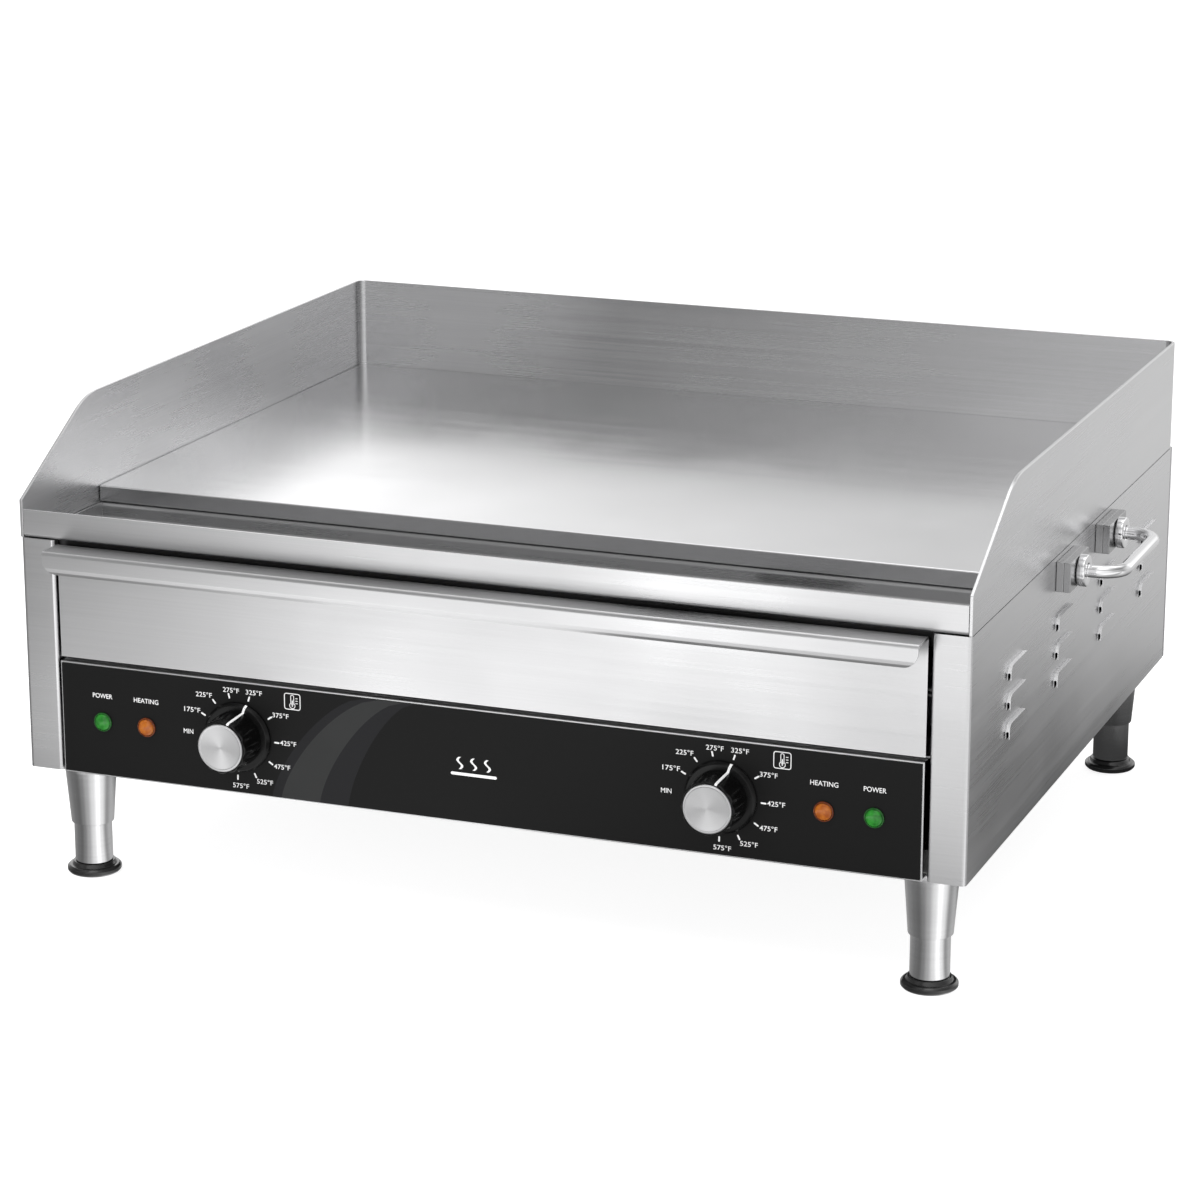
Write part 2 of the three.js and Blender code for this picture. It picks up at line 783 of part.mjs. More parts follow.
function buildLamp(name, x, material) {
  const seat = overlayFace - gap;
  const nutFront = gap;
  const nutBack = nutFront + lampNutThickness;
  const lamp = turnedY(
    [
      [0, -lampReach],
      [lampFlatRadius, -lampReach + lampCrown],
      [lampEdgeRadius, seat - lampEdgeHeight],
      [lampRadius, seat],
      [lampNeck, seat],
      [lampNeck, nutFront],
      [lampNutRadius, nutFront],
      [lampNutRadius, nutBack],
      [lampNeck, nutBack],
      [lampNeck, lampLength],
      [0, lampLength],
    ],
    16,
    x,
    lampZ,
  );
  place(name, lamp, material);
}

// ---------------------------------------------------------------- heating

function buildHeatingElement(side, centreX) {
  const xs = [-1.5, -0.5, 0.5, 1.5].map((step) => centreX + step * elementPitch);
  const corners = [
    [xs[0], elementEnd, elementZ],
    [xs[0], elementFront, elementZ],
    [xs[1], elementFront, elementZ],
    [xs[1], elementRear, elementZ],
    [xs[2], elementRear, elementZ],
    [xs[2], elementFront, elementZ],
    [xs[3], elementFront, elementZ],
    [xs[3], elementEnd, elementZ],
  ];
  const tube = bentRod(corners, { bendRadius: elementPitch / 2, radius: elementRadius });
  place(`heating_element_${side}`, tube, elementSheath);
}

function buildElementClamp(side, centreX) {
  const across = [centreX - clampHalfLength, centreX + clampHalfLength];
  const alongY = [clampY - clampWidth / 2, clampY + clampWidth / 2];
  const bar = solid(box(across, alongY, [clampTop - sheet, clampTop]));
  const holes = [-1, 1].map((end) => {
    const r = studRadius + gap;
    const low = clampTop - sheet - overshoot;
    const high = clampTop + overshoot;
    const profile = [[0, low], [r, low], [r, high], [0, high]];
    return turnedZ(profile, 10, centreX + end * elementPitch, clampY);
  });
  place(`element_clamp_${side}`, cut(bar, ...holes), galvanised);
}

function buildInsulation() {
  const across = [-padHalfWidth, padHalfWidth];
  place(
    "insulation_pad",
    box(across, [shieldFront + padInset, shelfBack - padInset], [padTop - padThickness, padTop]),
    ceramicFibre,
  );
  const inner = fitInside - sheet;
  const line = [
    [-inner, shieldTop + shieldFlange],
    [-inner, shieldTop],
    [inner, shieldTop],
    [inner, shieldTop + shieldFlange],
  ];
  place("heat_shield", prismY(bentSheet(line, sheet), shieldFront, shelfBack), galvanised);
}

// ---------------------------------------------------------------- wiring

function buildCordGland() {
  const panelInside = depth - sheet - gap;
  const gland = turnedY(
    [
      [glandBore, panelInside - glandNut],
      [glandRadius, panelInside - glandNut],
      [glandRadius, panelInside],
      [glandNeck, panelInside],
      [glandNeck, depth + gap],
      [glandRadius, depth + gap],
      [glandRadius - 1, depth + glandReach - 2],
      [glandRadius - 3, depth + glandReach],
      [glandBore, depth + glandReach],
      [glandBore, panelInside - glandNut],
    ],
    20,
    glandX,
    glandZ,
  );
  place("cord_gland", gland, blackPlastic);
}

function buildTerminalBlock() {
  const bottom = sheet + gap;
  const across = [glandX - terminalLength / 2, glandX + terminalLength / 2];
  const block = solid(box(across, [terminalY, terminalY + terminalWidth], [bottom, bottom + terminalHeight]));
  const top = bottom + terminalHeight;
  const ways = [-1, 0, 1].map((way) => {
    const x = glandX + (way * terminalLength) / terminalWays;
    return box(
      [x - terminalWayLength / 2, x + terminalWayLength / 2],
      [terminalY + terminalWall, terminalY + terminalWidth - terminalWall],
      [top - terminalWall, top + overshoot],
    );
  });
  place("terminal_block", cut(block, ...ways), phenolic);
}

function buildWiring() {
  const thermostatEnd = gap + thermostatPlate + thermostatDepth + wiringReach;
  const feed = bentRod(
    [
      [glandX, terminalY - gap, loomZ],
      [glandX, loomY, loomZ],
    ],
    { bendRadius: 8, radius: loomRadius },
  );
  const toThermostats = bentRod(
    [
      [-knobX, thermostatEnd, loomThermostatZ],
      [-knobX, loomY, loomThermostatZ],
      [-knobX, loomY, loomZ],
      [knobX, loomY, loomZ],
      [knobX, loomY, loomThermostatZ],
      [knobX, thermostatEnd, loomThermostatZ],
    ],
    { bendRadius: 8, radius: loomRadius },
  );
  place("wiring_loom", join(toThermostats, feed), cableSleeve);

  const outerX = zoneCentreX + elementEndRunX;
  const toElements = bentRod(
    [
      [-outerX, elementEnd + gap, elementZ],
      [-outerX, leadY, elementZ],
      [-outerX, leadY, leadZ],
      [outerX, leadY, leadZ],
      [outerX, leadY, elementZ],
      [outerX, elementEnd + gap, elementZ],
    ],
    { bendRadius: 3.5, radius: leadRadius, sides: 6 },
  );
  const riserX = glandX - riserOffset;
  const riser = bentRod(
    [
      [riserX, terminalY + terminalWidth + gap, loomZ],
      [riserX, leadY, loomZ],
      [riserX, leadY, leadZ],
    ],
    { bendRadius: 6, radius: leadRadius, sides: 6 },
  );
  place("element_leads", join(toElements, riser), cableSleeve);
}

// ---------------------------------------------------------------- side handles

function buildHandles() {
  const bracketInside = halfWidth + gap;
  const bracketOutside = bracketInside + bracketThickness;
  const collarInside = bracketOutside + gap;
  const collarOutside = collarInside + collarThickness;
  const gripX = halfWidth + handleReach;
  const ends = { front: handleY - handleSpan / 2, rear: handleY + handleSpan / 2 };
  const bar = bentRod(
    [
      [collarInside, ends.front, handleZ],
      [gripX, ends.front, handleZ],
      [gripX, ends.rear, handleZ],
      [collarInside, ends.rear, handleZ],
    ],
    { bendRadius: handleBendRadius, radius: handleRadius, sides: 12, stepsPerBend: 5 },
  );
  place("handle_bar_right", bar, chrome);
  place("handle_bar_left", bar, chrome, true);
  for (const [end, y] of Object.entries(ends)) {
    const bracket = box(
      [bracketInside, bracketOutside],
      [y - bracketLength / 2, y + bracketLength / 2],
      [handleZ - bracketHeight / 2, handleZ + bracketHeight / 2],
    );
    const bore = handleRadius + gap;
    const ring = [
      [bore, collarInside],
      [collarRadius, collarInside],
      [collarRadius, collarOutside],
      [bore, collarOutside],
      [bore, collarInside],
    ];
    const collar = turnedY(ring, 20, 0, 0).rotateZ(-Math.PI / 2).translate(0, y, handleZ);
    place(`handle_bracket_${end}_right`, bracket, brushedSteel);
    place(`handle_bracket_${end}_left`, bracket, brushedSteel, true);
    place(`handle_collar_${end}_right`, collar, chrome);
    place(`handle_collar_${end}_left`, collar, chrome, true);
  }
}

// ---------------------------------------------------------------- levelling legs

function buildLegs() {
  const bore = insertRadius + insertClearance;
  const nutBottom = sheet + gap;
  const footTop = -legHeight + footHeight;
  for (const [row, y] of [["front", legFrontY], ["back", legBackY]]) {
    const shell = turnedZ(
      [
        [0, -shellCap],
        [bore, -shellCap],
        [bore, -shellLength],
        [shellMouthRadius, -shellLength],
        [shellTopRadius, -gap],
        [legStudRadius, -gap],
        [legStudRadius, nutBottom],
        [legNutRadius, nutBottom],
        [legNutRadius, nutBottom + legNutHeight],
        [legStudRadius, nutBottom + legNutHeight],
        [legStudRadius, legStudHeight],
        [0, legStudHeight],
      ],
      20,
      legX,
      y,
    );
    const insert = turnedZ(
      [
        [0, footTop + gap],
        [insertRadius, footTop + gap],
        [insertRadius, -shellCap - gap],
        [0, -shellCap - gap],
      ],
      20,
      legX,
      y,
    );
    const foot = turnedZ(
      [
        [0, -legHeight],
        [footRadius - 1.5, -legHeight],
        [footRadius, -legHeight + 1.5],
        [footRadius, -legHeight + 3.5],
        [footRadius - 1.5, -legHeight + 5],
        [insertRadius + 2, -legHeight + 5],
        [insertRadius + 1, footTop],
        [0, footTop],
      ],
      20,
      legX,
      y,
    );
    for (const side of ["right", "left"]) {
      const mirrored = side === "left";
      place(`leg_shell_${row}_${side}`, shell, polishedSteel, mirrored);
      place(`leg_insert_${row}_${side}`, insert, polishedSteel, mirrored);
      place(`leg_foot_${row}_${side}`, foot, blackRubber, mirrored);
    }
  }
}

// ---------------------------------------------------------------- assembly

buildSplashGuard();
buildGriddlePlate();
buildGreaseTrough();
buildSidePanels();
buildBackPanel();
buildBasePan();
buildDrawerShelf();
buildDrawerRunners();
buildDrawerFront();
buildDrawerTray();
buildControlPanel();
buildPanelOverlay();
for (const [side, sign] of [["left", -1], ["right", 1]]) {
  const zoneX = sign * zoneCentreX;
  buildKnob(side, sign * knobX);
  buildThermostat(side, sign * knobX);
  buildTemperatureSensor(side, sign * knobX, zoneX + elementPitch);
  buildLamp(`power_lamp_${side}`, sign * powerLampX, greenLens);
  buildLamp(`heating_lamp_${side}`, sign * heatingLampX, amberLens);
  buildHeatingElement(side, zoneX);
  buildElementClamp(side, zoneX);
}
buildInsulation();
buildCordGland();
buildTerminalBlock();
buildWiring();
buildHandles();
buildLegs();

const foremost = capFront;
const rearmost = depth + glandReach;
cabinetDatum.position.set(0, -(foremost + rearmost) / 2, legHeight);

export default group;
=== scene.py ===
"""The looks of an electric countertop griddle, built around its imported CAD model.

Pieces are drawn in millimetres from the cabinet's datum: the middle of its width, its front face and its
underside. build() moves them into the frame, in metres. X runs to the right, Y to the back and Z up.
"""

import math

import bmesh
import bpy
from mathutils import Matrix, Vector


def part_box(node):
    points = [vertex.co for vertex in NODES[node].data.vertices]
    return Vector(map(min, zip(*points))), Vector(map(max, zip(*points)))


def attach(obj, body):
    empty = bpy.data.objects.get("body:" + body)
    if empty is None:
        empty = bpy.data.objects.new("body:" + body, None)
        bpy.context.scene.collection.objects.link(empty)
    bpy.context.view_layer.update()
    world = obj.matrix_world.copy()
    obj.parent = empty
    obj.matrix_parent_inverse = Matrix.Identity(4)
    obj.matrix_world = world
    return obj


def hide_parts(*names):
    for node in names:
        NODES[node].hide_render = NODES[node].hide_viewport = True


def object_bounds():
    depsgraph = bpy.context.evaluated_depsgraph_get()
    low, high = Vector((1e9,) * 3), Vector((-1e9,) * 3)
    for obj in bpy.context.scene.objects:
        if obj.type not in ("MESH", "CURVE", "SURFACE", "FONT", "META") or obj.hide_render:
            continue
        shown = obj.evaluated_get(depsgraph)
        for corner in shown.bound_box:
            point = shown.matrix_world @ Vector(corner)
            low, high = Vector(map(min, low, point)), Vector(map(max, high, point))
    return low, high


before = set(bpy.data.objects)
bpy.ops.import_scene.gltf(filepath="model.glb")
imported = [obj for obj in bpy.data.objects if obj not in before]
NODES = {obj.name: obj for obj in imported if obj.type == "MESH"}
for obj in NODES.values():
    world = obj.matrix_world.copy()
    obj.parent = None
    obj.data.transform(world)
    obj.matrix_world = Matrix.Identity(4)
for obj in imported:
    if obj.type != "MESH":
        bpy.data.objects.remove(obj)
CAD_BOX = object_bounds()

MM = 0.001
SIDES = (("left", -1), ("right", 1))

# ---------------------------------------------------------------- sizes, in millimetres

SHEET = 1.5  # stainless sheet of the cabinet and the trough
GUARD_SHEET = 2.0
BEND = 1.6  # inside radius of the bends
GUARD_BEND = 5.0  # inside radius of the guard's two rear corners
GUARD_SLOPE_RUN = 86.0  # front face to where the sloping edge would meet the top edge
GUARD_FRONT_RISE = 24.0  # seam to the guard's front corners
GUARD_ARC = 60.0  # radius where the slope meets the top edge

TROUGH_JOG = 6.0
TROUGH_FLANGE = 15.0
TROUGH_DEPTH = 10.0
DRAIN_X = 168.0
DRAIN_Y = 77.0
DRAIN_LENGTH = 64.0
DRAIN_WIDTH = 26.0

POST_WIDTH = 23.5
POST_RETURN = 5.0
TOP_FLANGE = 23.5
TOP_FLANGE_START = 118.0  # behind the drawer's opening
REAR_FLANGE = 15.0
LOUVRE_COLUMNS = 4
LOUVRE_ROWS = 3
LOUVRE_LENGTH = 39.0
LOUVRE_HEIGHT = 9.0
LOUVRE_DEPTH = 2.4
LOUVRE_WALL = 0.9
LOUVRE_CORNER = 5.0
LOUVRE_MOUTH = 4.4  # height of the opening at a louvre's front end
LOUVRE_FIRST_Y = 79.5
LOUVRE_PITCH_Y = 110.8
LOUVRE_FIRST_Z = 65.3
LOUVRE_PITCH_Z = 18.0

PULL_CORNER = 10.0
PULL_DROP = 14.3  # height of the pull's front face

KNOB_X = 157.0
KNOB_Z = 37.2
SKIRT_RADIUS = 22.3
SKIRT_THICKNESS = 3.4
KNOB_BACK_RADIUS = 17.5
KNOB_FRONT_RADIUS = 16.4
KNOB_BORE = 3.4
SCALLOPS = 12
SCALLOP_DEPTH = 1.1
CAP_RADIUS = 15.0
POINTER_ANGLE = 18.0  # degrees clockwise from straight up, at rest

LAMP_RADIUS = 6.0
LAMP_STEM = 4.6
LENS_RISE = 2.2
HANDLE_RADIUS = 4.1
HANDLE_BEND = 15.0

LEG_BORE_GAP = 0.4  # play between a leg's shell and the insert that screws out of it
LEG_MOUTH = 13.5  # radius of a shell's lower end
STUD_RADIUS = 5.0
NUT_RADIUS = 8.0

PRINT = 0.06  # thickness of the printing on the panel
SUNK = 0.02  # how far printing reaches into the overlay
LETTER_HEIGHT = 3.1
LETTER_WIDTH = 2.2  # of the labels round a dial, for each letter
LAMP_WORDS_Z = 52.7
TICK_INNER = 24.5
TICK_OUTER = 28.0
TICK_BREADTH = 1.05
ICON_X = 37.4  # from a dial's middle
ICON_Z = 26.7

# ---------------------------------------------------------------- stage, in metres and degrees

STAGE_REACH = 30.0  # half the floor's width
CAMERA_AZIMUTH = 21.32
CAMERA_ELEVATION = 15.73
CAMERA_DISTANCE = 2.41955
CAMERA_LEFT = 0.0126  # how far the camera stands left of its target and below it
CAMERA_BELOW = 0.04166
CAMERA_LENS = 111.5
TARGET_HEIGHT = 0.1948
LEVEL_TOP = 4.0  # the highest level of light that a ramp can hold

# What polished steel sees of the floor: level by distance from the body, in metres, and factor across the
# front, from one metre left to one metre right.
FLOOR_BY_DISTANCE = ((0.0, 0.08), (0.07, 0.16), (0.2, 0.5), (0.32, 0.85), (0.5, 1.0), (0.9, 1.15))
FRONT_FLOOR_ACROSS = (
    *((0.0, 0.3), (0.18, 0.42), (0.24, 0.9), (0.29, 1.7), (0.34, 2.2)),
    *((0.42, 2.1), (0.5, 1.75), (0.6, 1.35), (1.0, 1.2)),
)
BACK_FLOOR_LEVEL = 0.68

# Level by azimuth just above the horizon: 0 and 1 are the back, 0.25 the left, 0.5 the front, 0.75 the right.
HORIZON = (
    *((0.0, 0.95), (0.047, 0.95), (0.058, 1.15), (0.075, 1.8), (0.12, 1.4), (0.2, 0.5), (0.3, 0.3)),
    *((0.38, 0.6), (0.42, 0.5), (0.436, 0.28), (0.447, 0.4), (0.46, 1.15), (0.5, 1.4), (0.58, 1.2)),
    *((0.68, 0.7), (0.76, 0.5), (0.86, 1.0), (0.925, 1.6), (1.0, 0.95)),
)
# Factor by elevation: 0 is the horizon and 1 straight up.
ABOVE = ((0.0, 0.8), (0.12, 1.0), (0.30, 0.95), (0.45, 0.5), (0.6, 1.0), (0.8, 1.9), (1.0, 1.9))
# Level round a front leg, by the same turn as the horizon.
LEG_SURROUND = (
    *((0.0, 0.5), (0.12, 0.45), (0.24, 0.3), (0.32, 0.22), (0.39, 0.18), (0.45, 0.3), (0.51, 0.55)),
    *((0.59, 1.1), (0.655, 1.75), (0.71, 1.2), (0.79, 0.42), (0.87, 0.6), (1.0, 0.5)),
)

# ---------------------------------------------------------------- places, from the frame

DATUM = Vector((0.0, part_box("side_panel_left")[0].y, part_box("side_panel_left")[0].z))


def span(node):
    """A CAD node's lowest and highest corners, in millimetres from the cabinet's datum."""
    low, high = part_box(node)
    return (low - DATUM) / MM, (high - DATUM) / MM


HALF_WIDTH = span("back_panel")[1].x
DEPTH = span("back_panel")[1].y
SEAM = span("back_panel")[1].z
GUARD_BOTTOM = span("splash_guard")[0].z
GUARD_TOP = span("splash_guard")[1].z
OVERLAY_FACE = span("panel_overlay")[0].y
KNOB_BACK = span("knob_left")[1].y
KNOB_FRONT = span("knob_left")[0].y

# ---------------------------------------------------------------- materials


class Nodes:
    """Short ways to add nodes to a tree."""

    def __init__(self, tree):
        self.tree = tree

    def node(self, kind, inputs=(), **settings):
        node = self.tree.nodes.new("ShaderNode" + kind)
        for key, value in settings.items():
            setattr(node, key, value)
        for socket, value in dict(inputs).items():
            if isinstance(value, bpy.types.NodeSocket):
                self.tree.links.new(value, node.inputs[socket])
            else:
                node.inputs[socket].default_value = value
        return node

    def place(self, scale):
        """Object coordinates in metres, stretched along each axis or by one number."""
        coordinates = self.node("TexCoord").outputs["Object"]
        stretch = scale if isinstance(scale, tuple) else (scale, scale, scale)
        return self.node("Mapping", {"Vector": coordinates, "Scale": stretch}).outputs[0]

    def split(self, source="Object"):
        """The x, y and z of object coordinates or of another output of the same node."""
        return self.node("SeparateXYZ", {0: self.node("TexCoord").outputs[source]}).outputs

    def noise(self, scale, detail=2.0, roughness=0.5):
        inputs = {"Vector": self.place(scale), "Scale": 1.0, "Detail": detail, "Roughness": roughness}
        return self.node("TexNoise", inputs).outputs[0]

    def remap(self, value, low, high, start=0.0, end=1.0):
        inputs = {"Value": value, "From Min": start, "From Max": end, "To Min": low, "To Max": high}
        return self.node("MapRange", inputs).outputs[0]

    def math(self, operation, first, second=0.0):
        return self.node("Math", {0: first, 1: second}, operation=operation).outputs[0]

    def times(self, first, second):
        return self.math("MULTIPLY", first, second)

    def plus(self, first, second):
        return self.math("ADD", first, second)

    def minus(self, first, second):
        return self.math("SUBTRACT", first, second)

    def mix(self, factor, first, second):
        return self.node("Mix", {0: factor, 6: first, 7: second}, data_type="RGBA").outputs[2]

    def cloudy(self, value, first, second, spread=0.15):
        """Two colours mixed by a noise, which stays within a spread about its middle."""
        return self.mix(self.remap(value, 0.0, 1.0, 0.5 - spread, 0.5 + spread), first, second)

    def blend(self, factor, first, second):
        return self.node("Mix", {0: factor, 2: first, 3: second}).outputs[0]

    def ramp(self, value, stops):
        """A smooth curve through (position, level) stops. Levels go up to LEVEL_TOP."""
        node = self.node("ValToRGB", {0: value})
        ramp = node.color_ramp
        ramp.interpolation = "EASE"
        ramp.elements[0].position, ramp.elements[1].position = stops[0][0], stops[-1][0]
        for position, _level in stops[1:-1]:
            ramp.elements.new(position)
        for element, (_position, level) in zip(ramp.elements, stops):
            element.color = (level / LEVEL_TOP, level / LEVEL_TOP, level / LEVEL_TOP, 1.0)
        return self.times(node.outputs[0], LEVEL_TOP)


class Finish(Nodes):
    """A node material that is built up step by step around one Principled shader."""

    def __init__(self, name, **values):
        self.material = bpy.data.materials.new(name)
        self.material.use_nodes = True
        super().__init__(self.material.node_tree)
        self.shader = self.tree.nodes["Principled BSDF"]
        for socket, value in values.items():
            self.shader.inputs[socket.replace("_", " ")].default_value = value

    def drive(self, socket, value):
        self.tree.links.new(value, self.shader.inputs[socket])

    def edges(self, reach=0.0007):
        """1 along edges, where handling has polished or rubbed the surface."""
        rounded_normal = self.node("Bevel", {"Radius": reach}, samples=4).outputs[0]
        normal = self.node("NewGeometry").outputs["Normal"]
        agree = self.node("VectorMath", {0: rounded_normal, 1: normal}, operation="DOT_PRODUCT")
        return self.remap(agree.outputs["Value"], 1.0, 0.0, 0.80, 0.98)

    def rub(self, body, bare, share=1.0):
        """The base colour, with what shows where the edges are worn."""
        self.drive("Base Color", self.mix(self.times(self.edges(), share), body, bare))

    def bump(self, height, strength, distance):
        normal = self.node("Bump", {"Height": height, "Strength": strength, "Distance": distance})
        self.drive("Normal", normal.outputs[0])


def grey(value):
    return (value, value, value * 1.01, 1.0)


def brighter(colour, factor):
    """A colour made lighter or darker, with its alpha."""
    return tuple(min(c * factor, 1.0) for c in colour) + (1.0,)


def steel(name, tone, roughness, grain, anisotropy=0.6, streak=0.05, clouds=0.05, relief=0.12, change=None):
    """Stainless sheet with a brushed grain. grain is the frequency of the streaks along each axis, per metre.
    change(look, colour, rough) gives both back with painted shade or a painted sheen laid on them."""
    look = Finish(name, Metallic=1.0, Anisotropic=anisotropy)
    fine = look.noise(grain, 3.0, 0.6)
    cloud = look.noise(7.0, 3.0, 0.5)
    smear = look.noise(tuple(g * 0.12 for g in grain), 2.0, 0.5)
    worn = look.edges()
    mottled = look.plus(look.times(fine, 0.6), look.times(smear, 0.4))
    body = look.cloudy(mottled, grey(tone * (1 - streak)), grey(tone * (1 + streak)), 0.2)
    body = look.mix(worn, body, grey(min(tone * 1.12, 0.92)))
    rough = look.remap(mottled, roughness * 0.85, roughness * 1.15, 0.3, 0.7)
    rough = look.plus(rough, look.remap(cloud, -clouds, clouds, 0.3, 0.7))
    if change:
        body, rough = change(look, body, rough)
    look.drive("Base Color", body)
    look.drive("Roughness", look.minus(rough, look.times(worn, roughness * 0.3)))
    look.bump(fine, relief, 0.00006)
    look.drive("Tangent", look.node("CombineXYZ", {0: 0.0, 1: 0.02, 2: 1.0}).outputs[0])
    return look.material


def painted_shade_trough(look, colour, rough):
    """Painted shade: the trough is mixed towards dark grey behind its front band, and towards near black on
    its outward and downward faces just behind the band.
    """
    depth = look.split()[1]
    normal = look.split("Normal")
    away = look.math("MINIMUM", normal[1], normal[2])
    # painted shade: every face behind the front band is mixed towards a dark grey
    behind = look.remap(depth, 0.0, 1.0, DATUM.y + 3.0 * MM, DATUM.y + 4.0 * MM)
    # painted shade: outward and downward faces just behind the band are mixed towards near black
    outside = look.times(behind, look.remap(away, 1.0, 0.0, -0.6, -0.3))
    front_wall = look.remap(depth, 1.0, 0.0, DATUM.y + 12 * MM, DATUM.y + 14 * MM)
    outside = look.times(outside, front_wall)
    return look.mix(outside, look.mix(behind, colour, grey(0.46)), grey(0.07)), rough


def painted_sheen_louvres(look, colour, rough):
    """A painted sheen: the louvres' sides are made pale, rougher and less metallic where they face across."""
    x, facing = look.split()[0], look.split("Normal")[0]
    beyond = (HALF_WIDTH + 0.1) * MM
    outside = look.remap(look.math("ABSOLUTE", x), 0.0, 1.0, beyond, beyond + 0.0002)
    across = look.remap(look.math("ABSOLUTE", facing), 1.0, 0.0, 0.4, 0.9)
    side = look.times(outside, across)
    # painted sheen: the louvres' sides lose their metal look and are mixed towards a pale grey
    look.drive("Metallic", look.remap(side, 1.0, 0.15, 0.0, 1.0))
    return look.mix(side, colour, grey(0.90)), look.blend(side, rough, 0.62)


def chrome():
    """Bright plating with a faint haze."""
    look = Finish("chrome", Metallic=1.0)
    worn = look.edges()
    haze = look.noise(60.0, 3.0)
    look.drive("Base Color", look.mix(haze, grey(0.70), grey(0.77)))
    rough = look.remap(haze, 0.035, 0.09, 0.35, 0.7)
    look.drive("Roughness", look.plus(rough, look.times(worn, 0.05)))
    look.bump(look.noise(900.0, 2.0), 0.02, 0.00002)
    return look.material


def spun_aluminium():
    """Turned faces: fine rings that catch the light in two opposite fans."""
    look = Finish("spun_aluminium", Metallic=1.0, Anisotropic=0.9)
    x, _y, z = look.split()
    across = look.minus(look.math("ABSOLUTE", x), KNOB_X * MM)
    sideways = look.times(across, look.math("SIGN", x))
    upward = look.minus(z, DATUM.z + KNOB_Z * MM)
    radius = look.node("CombineXYZ", {0: sideways, 2: upward}).outputs[0]
    rings = look.node("VectorMath", {0: radius}, operation="LENGTH").outputs["Value"]
    turning = look.node("VectorMath", {0: radius, 1: (0.0, 1.0, 0.0)}, operation="CROSS_PRODUCT")
    tangent = look.node("VectorMath", {0: turning.outputs[0]}, operation="NORMALIZE")
    look.drive("Tangent", tangent.outputs[0])
    along = look.node("CombineXYZ", {0: look.times(rings, 3200.0)}).outputs[0]
    fine = look.node("TexNoise", {"Vector": along, "Scale": 1.0, "Detail": 2.0}).outputs[0]
    look.rub(look.cloudy(fine, grey(0.45), grey(0.52), 0.2), grey(0.85))
    look.drive("Roughness", look.remap(fine, 0.28, 0.38, 0.3, 0.7))
    look.bump(fine, 0.15, 0.00005)
    return look.material


def black_plastic(name, tone, roughness, grain=1400.0, relief=0.12, coat=0.0, specular=0.5):
    """Moulded plastic with a fine spark-eroded texture and rubbed edges."""
    look = Finish(name, Coat_Weight=coat, Coat_Roughness=0.12, Specular_IOR_Level=specular)
    texture = look.noise(grain, 2.0)
    cloud = look.noise(55.0, 3.0)
    worn = look.edges()
    body = look.cloudy(cloud, grey(tone * 0.9), grey(tone * 1.12))
    look.drive("Base Color", look.mix(look.times(worn, 0.35), body, grey(tone * 2.4)))
    rough = look.remap(cloud, roughness * 0.88, roughness * 1.12, 0.35, 0.65)
    look.drive("Roughness", look.minus(rough, look.times(worn, 0.08)))
    look.bump(texture, relief, 0.00005)
    return look.material


def film(name, colour, roughness=0.5, relief=0.05):
    """A printed polyester film: an even colour with the faintest orange peel."""
    look = Finish(name, Specular_IOR_Level=0.12)
    peel = look.noise(500.0, 3.0)
    cloud = look.noise(14.0, 3.0)
    body = look.cloudy(cloud, brighter(colour, 0.94), brighter(colour, 1.06))
    look.rub(body, brighter(colour, 1.5), 0.4)
    look.drive("Roughness", look.remap(cloud, roughness * 0.93, roughness * 1.07, 0.35, 0.65))
    look.bump(peel, relief, 0.00003)
    return look.material


def lens(name, deep, bright):
    """A ribbed coloured lamp lens: deep colour in the body, paler where the light gathers."""
    look = Finish(name, Coat_Weight=0.25, Coat_Roughness=0.06, IOR=1.49, Specular_IOR_Level=0.3)
    cells = look.node("TexVoronoi", {"Vector": look.place(700.0), "Scale": 1.0}, feature="SMOOTH_F1")
    cells = cells.outputs["Distance"]
    cloud = look.noise(260.0, 2.0)
    body = look.cloudy(cloud, deep + (1.0,), bright + (1.0,))
    look.drive("Base Color", body)
    look.drive("Roughness", look.remap(cells, 0.14, 0.28))
    look.bump(cells, 0.25, 0.0002)
    return look.material


def mineral(name, dark, light, scale, roughness, relief, distance):
    """Matt mineral or woven stuff: fibre board, mica, glass sleeve, pressed phenolic."""
    look = Finish(name, Specular_IOR_Level=0.25)
    speck = look.noise(scale, 4.0, 0.65)
    body = look.cloudy(speck, dark + (1.0,), light + (1.0,), 0.2)
    look.rub(body, brighter(light, 1.3), 0.3)
    look.drive("Roughness", look.remap(speck, roughness * 0.9, min(roughness * 1.1, 1.0)))
    look.bump(speck, relief, distance)
    return look.material


def heated_metal(name, dark, light, roughness):
    """Oxidised metal with temper colour in slow patches along its length."""
    look = Finish(name, Metallic=1.0)
    patch = look.noise(18.0, 3.0)
    fine = look.noise(500.0, 2.0)
    body = look.cloudy(patch, dark + (1.0,), light + (1.0,))
    look.rub(body, brighter(light, 1.4), 0.4)
    look.drive("Roughness", look.remap(fine, roughness * 0.85, roughness * 1.15, 0.3, 0.7))
    look.bump(fine, 0.15, 0.00008)
    return look.material


def galvanised():
    """Zinc-coated sheet with its spangle."""
    look = Finish("galvanised", Metallic=1.0)
    spangle = look.node("TexVoronoi", {"Vector": look.place(70.0), "Scale": 1.0})
    flake = look.node("SeparateColor", {0: spangle.outputs["Color"]}).outputs[0]
    look.rub(look.mix(flake, grey(0.42), grey(0.55)), grey(0.7))
    look.drive("Roughness", look.remap(flake, 0.34, 0.5))
    look.bump(look.noise(300.0, 2.0), 0.1, 0.00008)
    return look.material


def to_frame(point):
    return DATUM + Vector(point) * MM


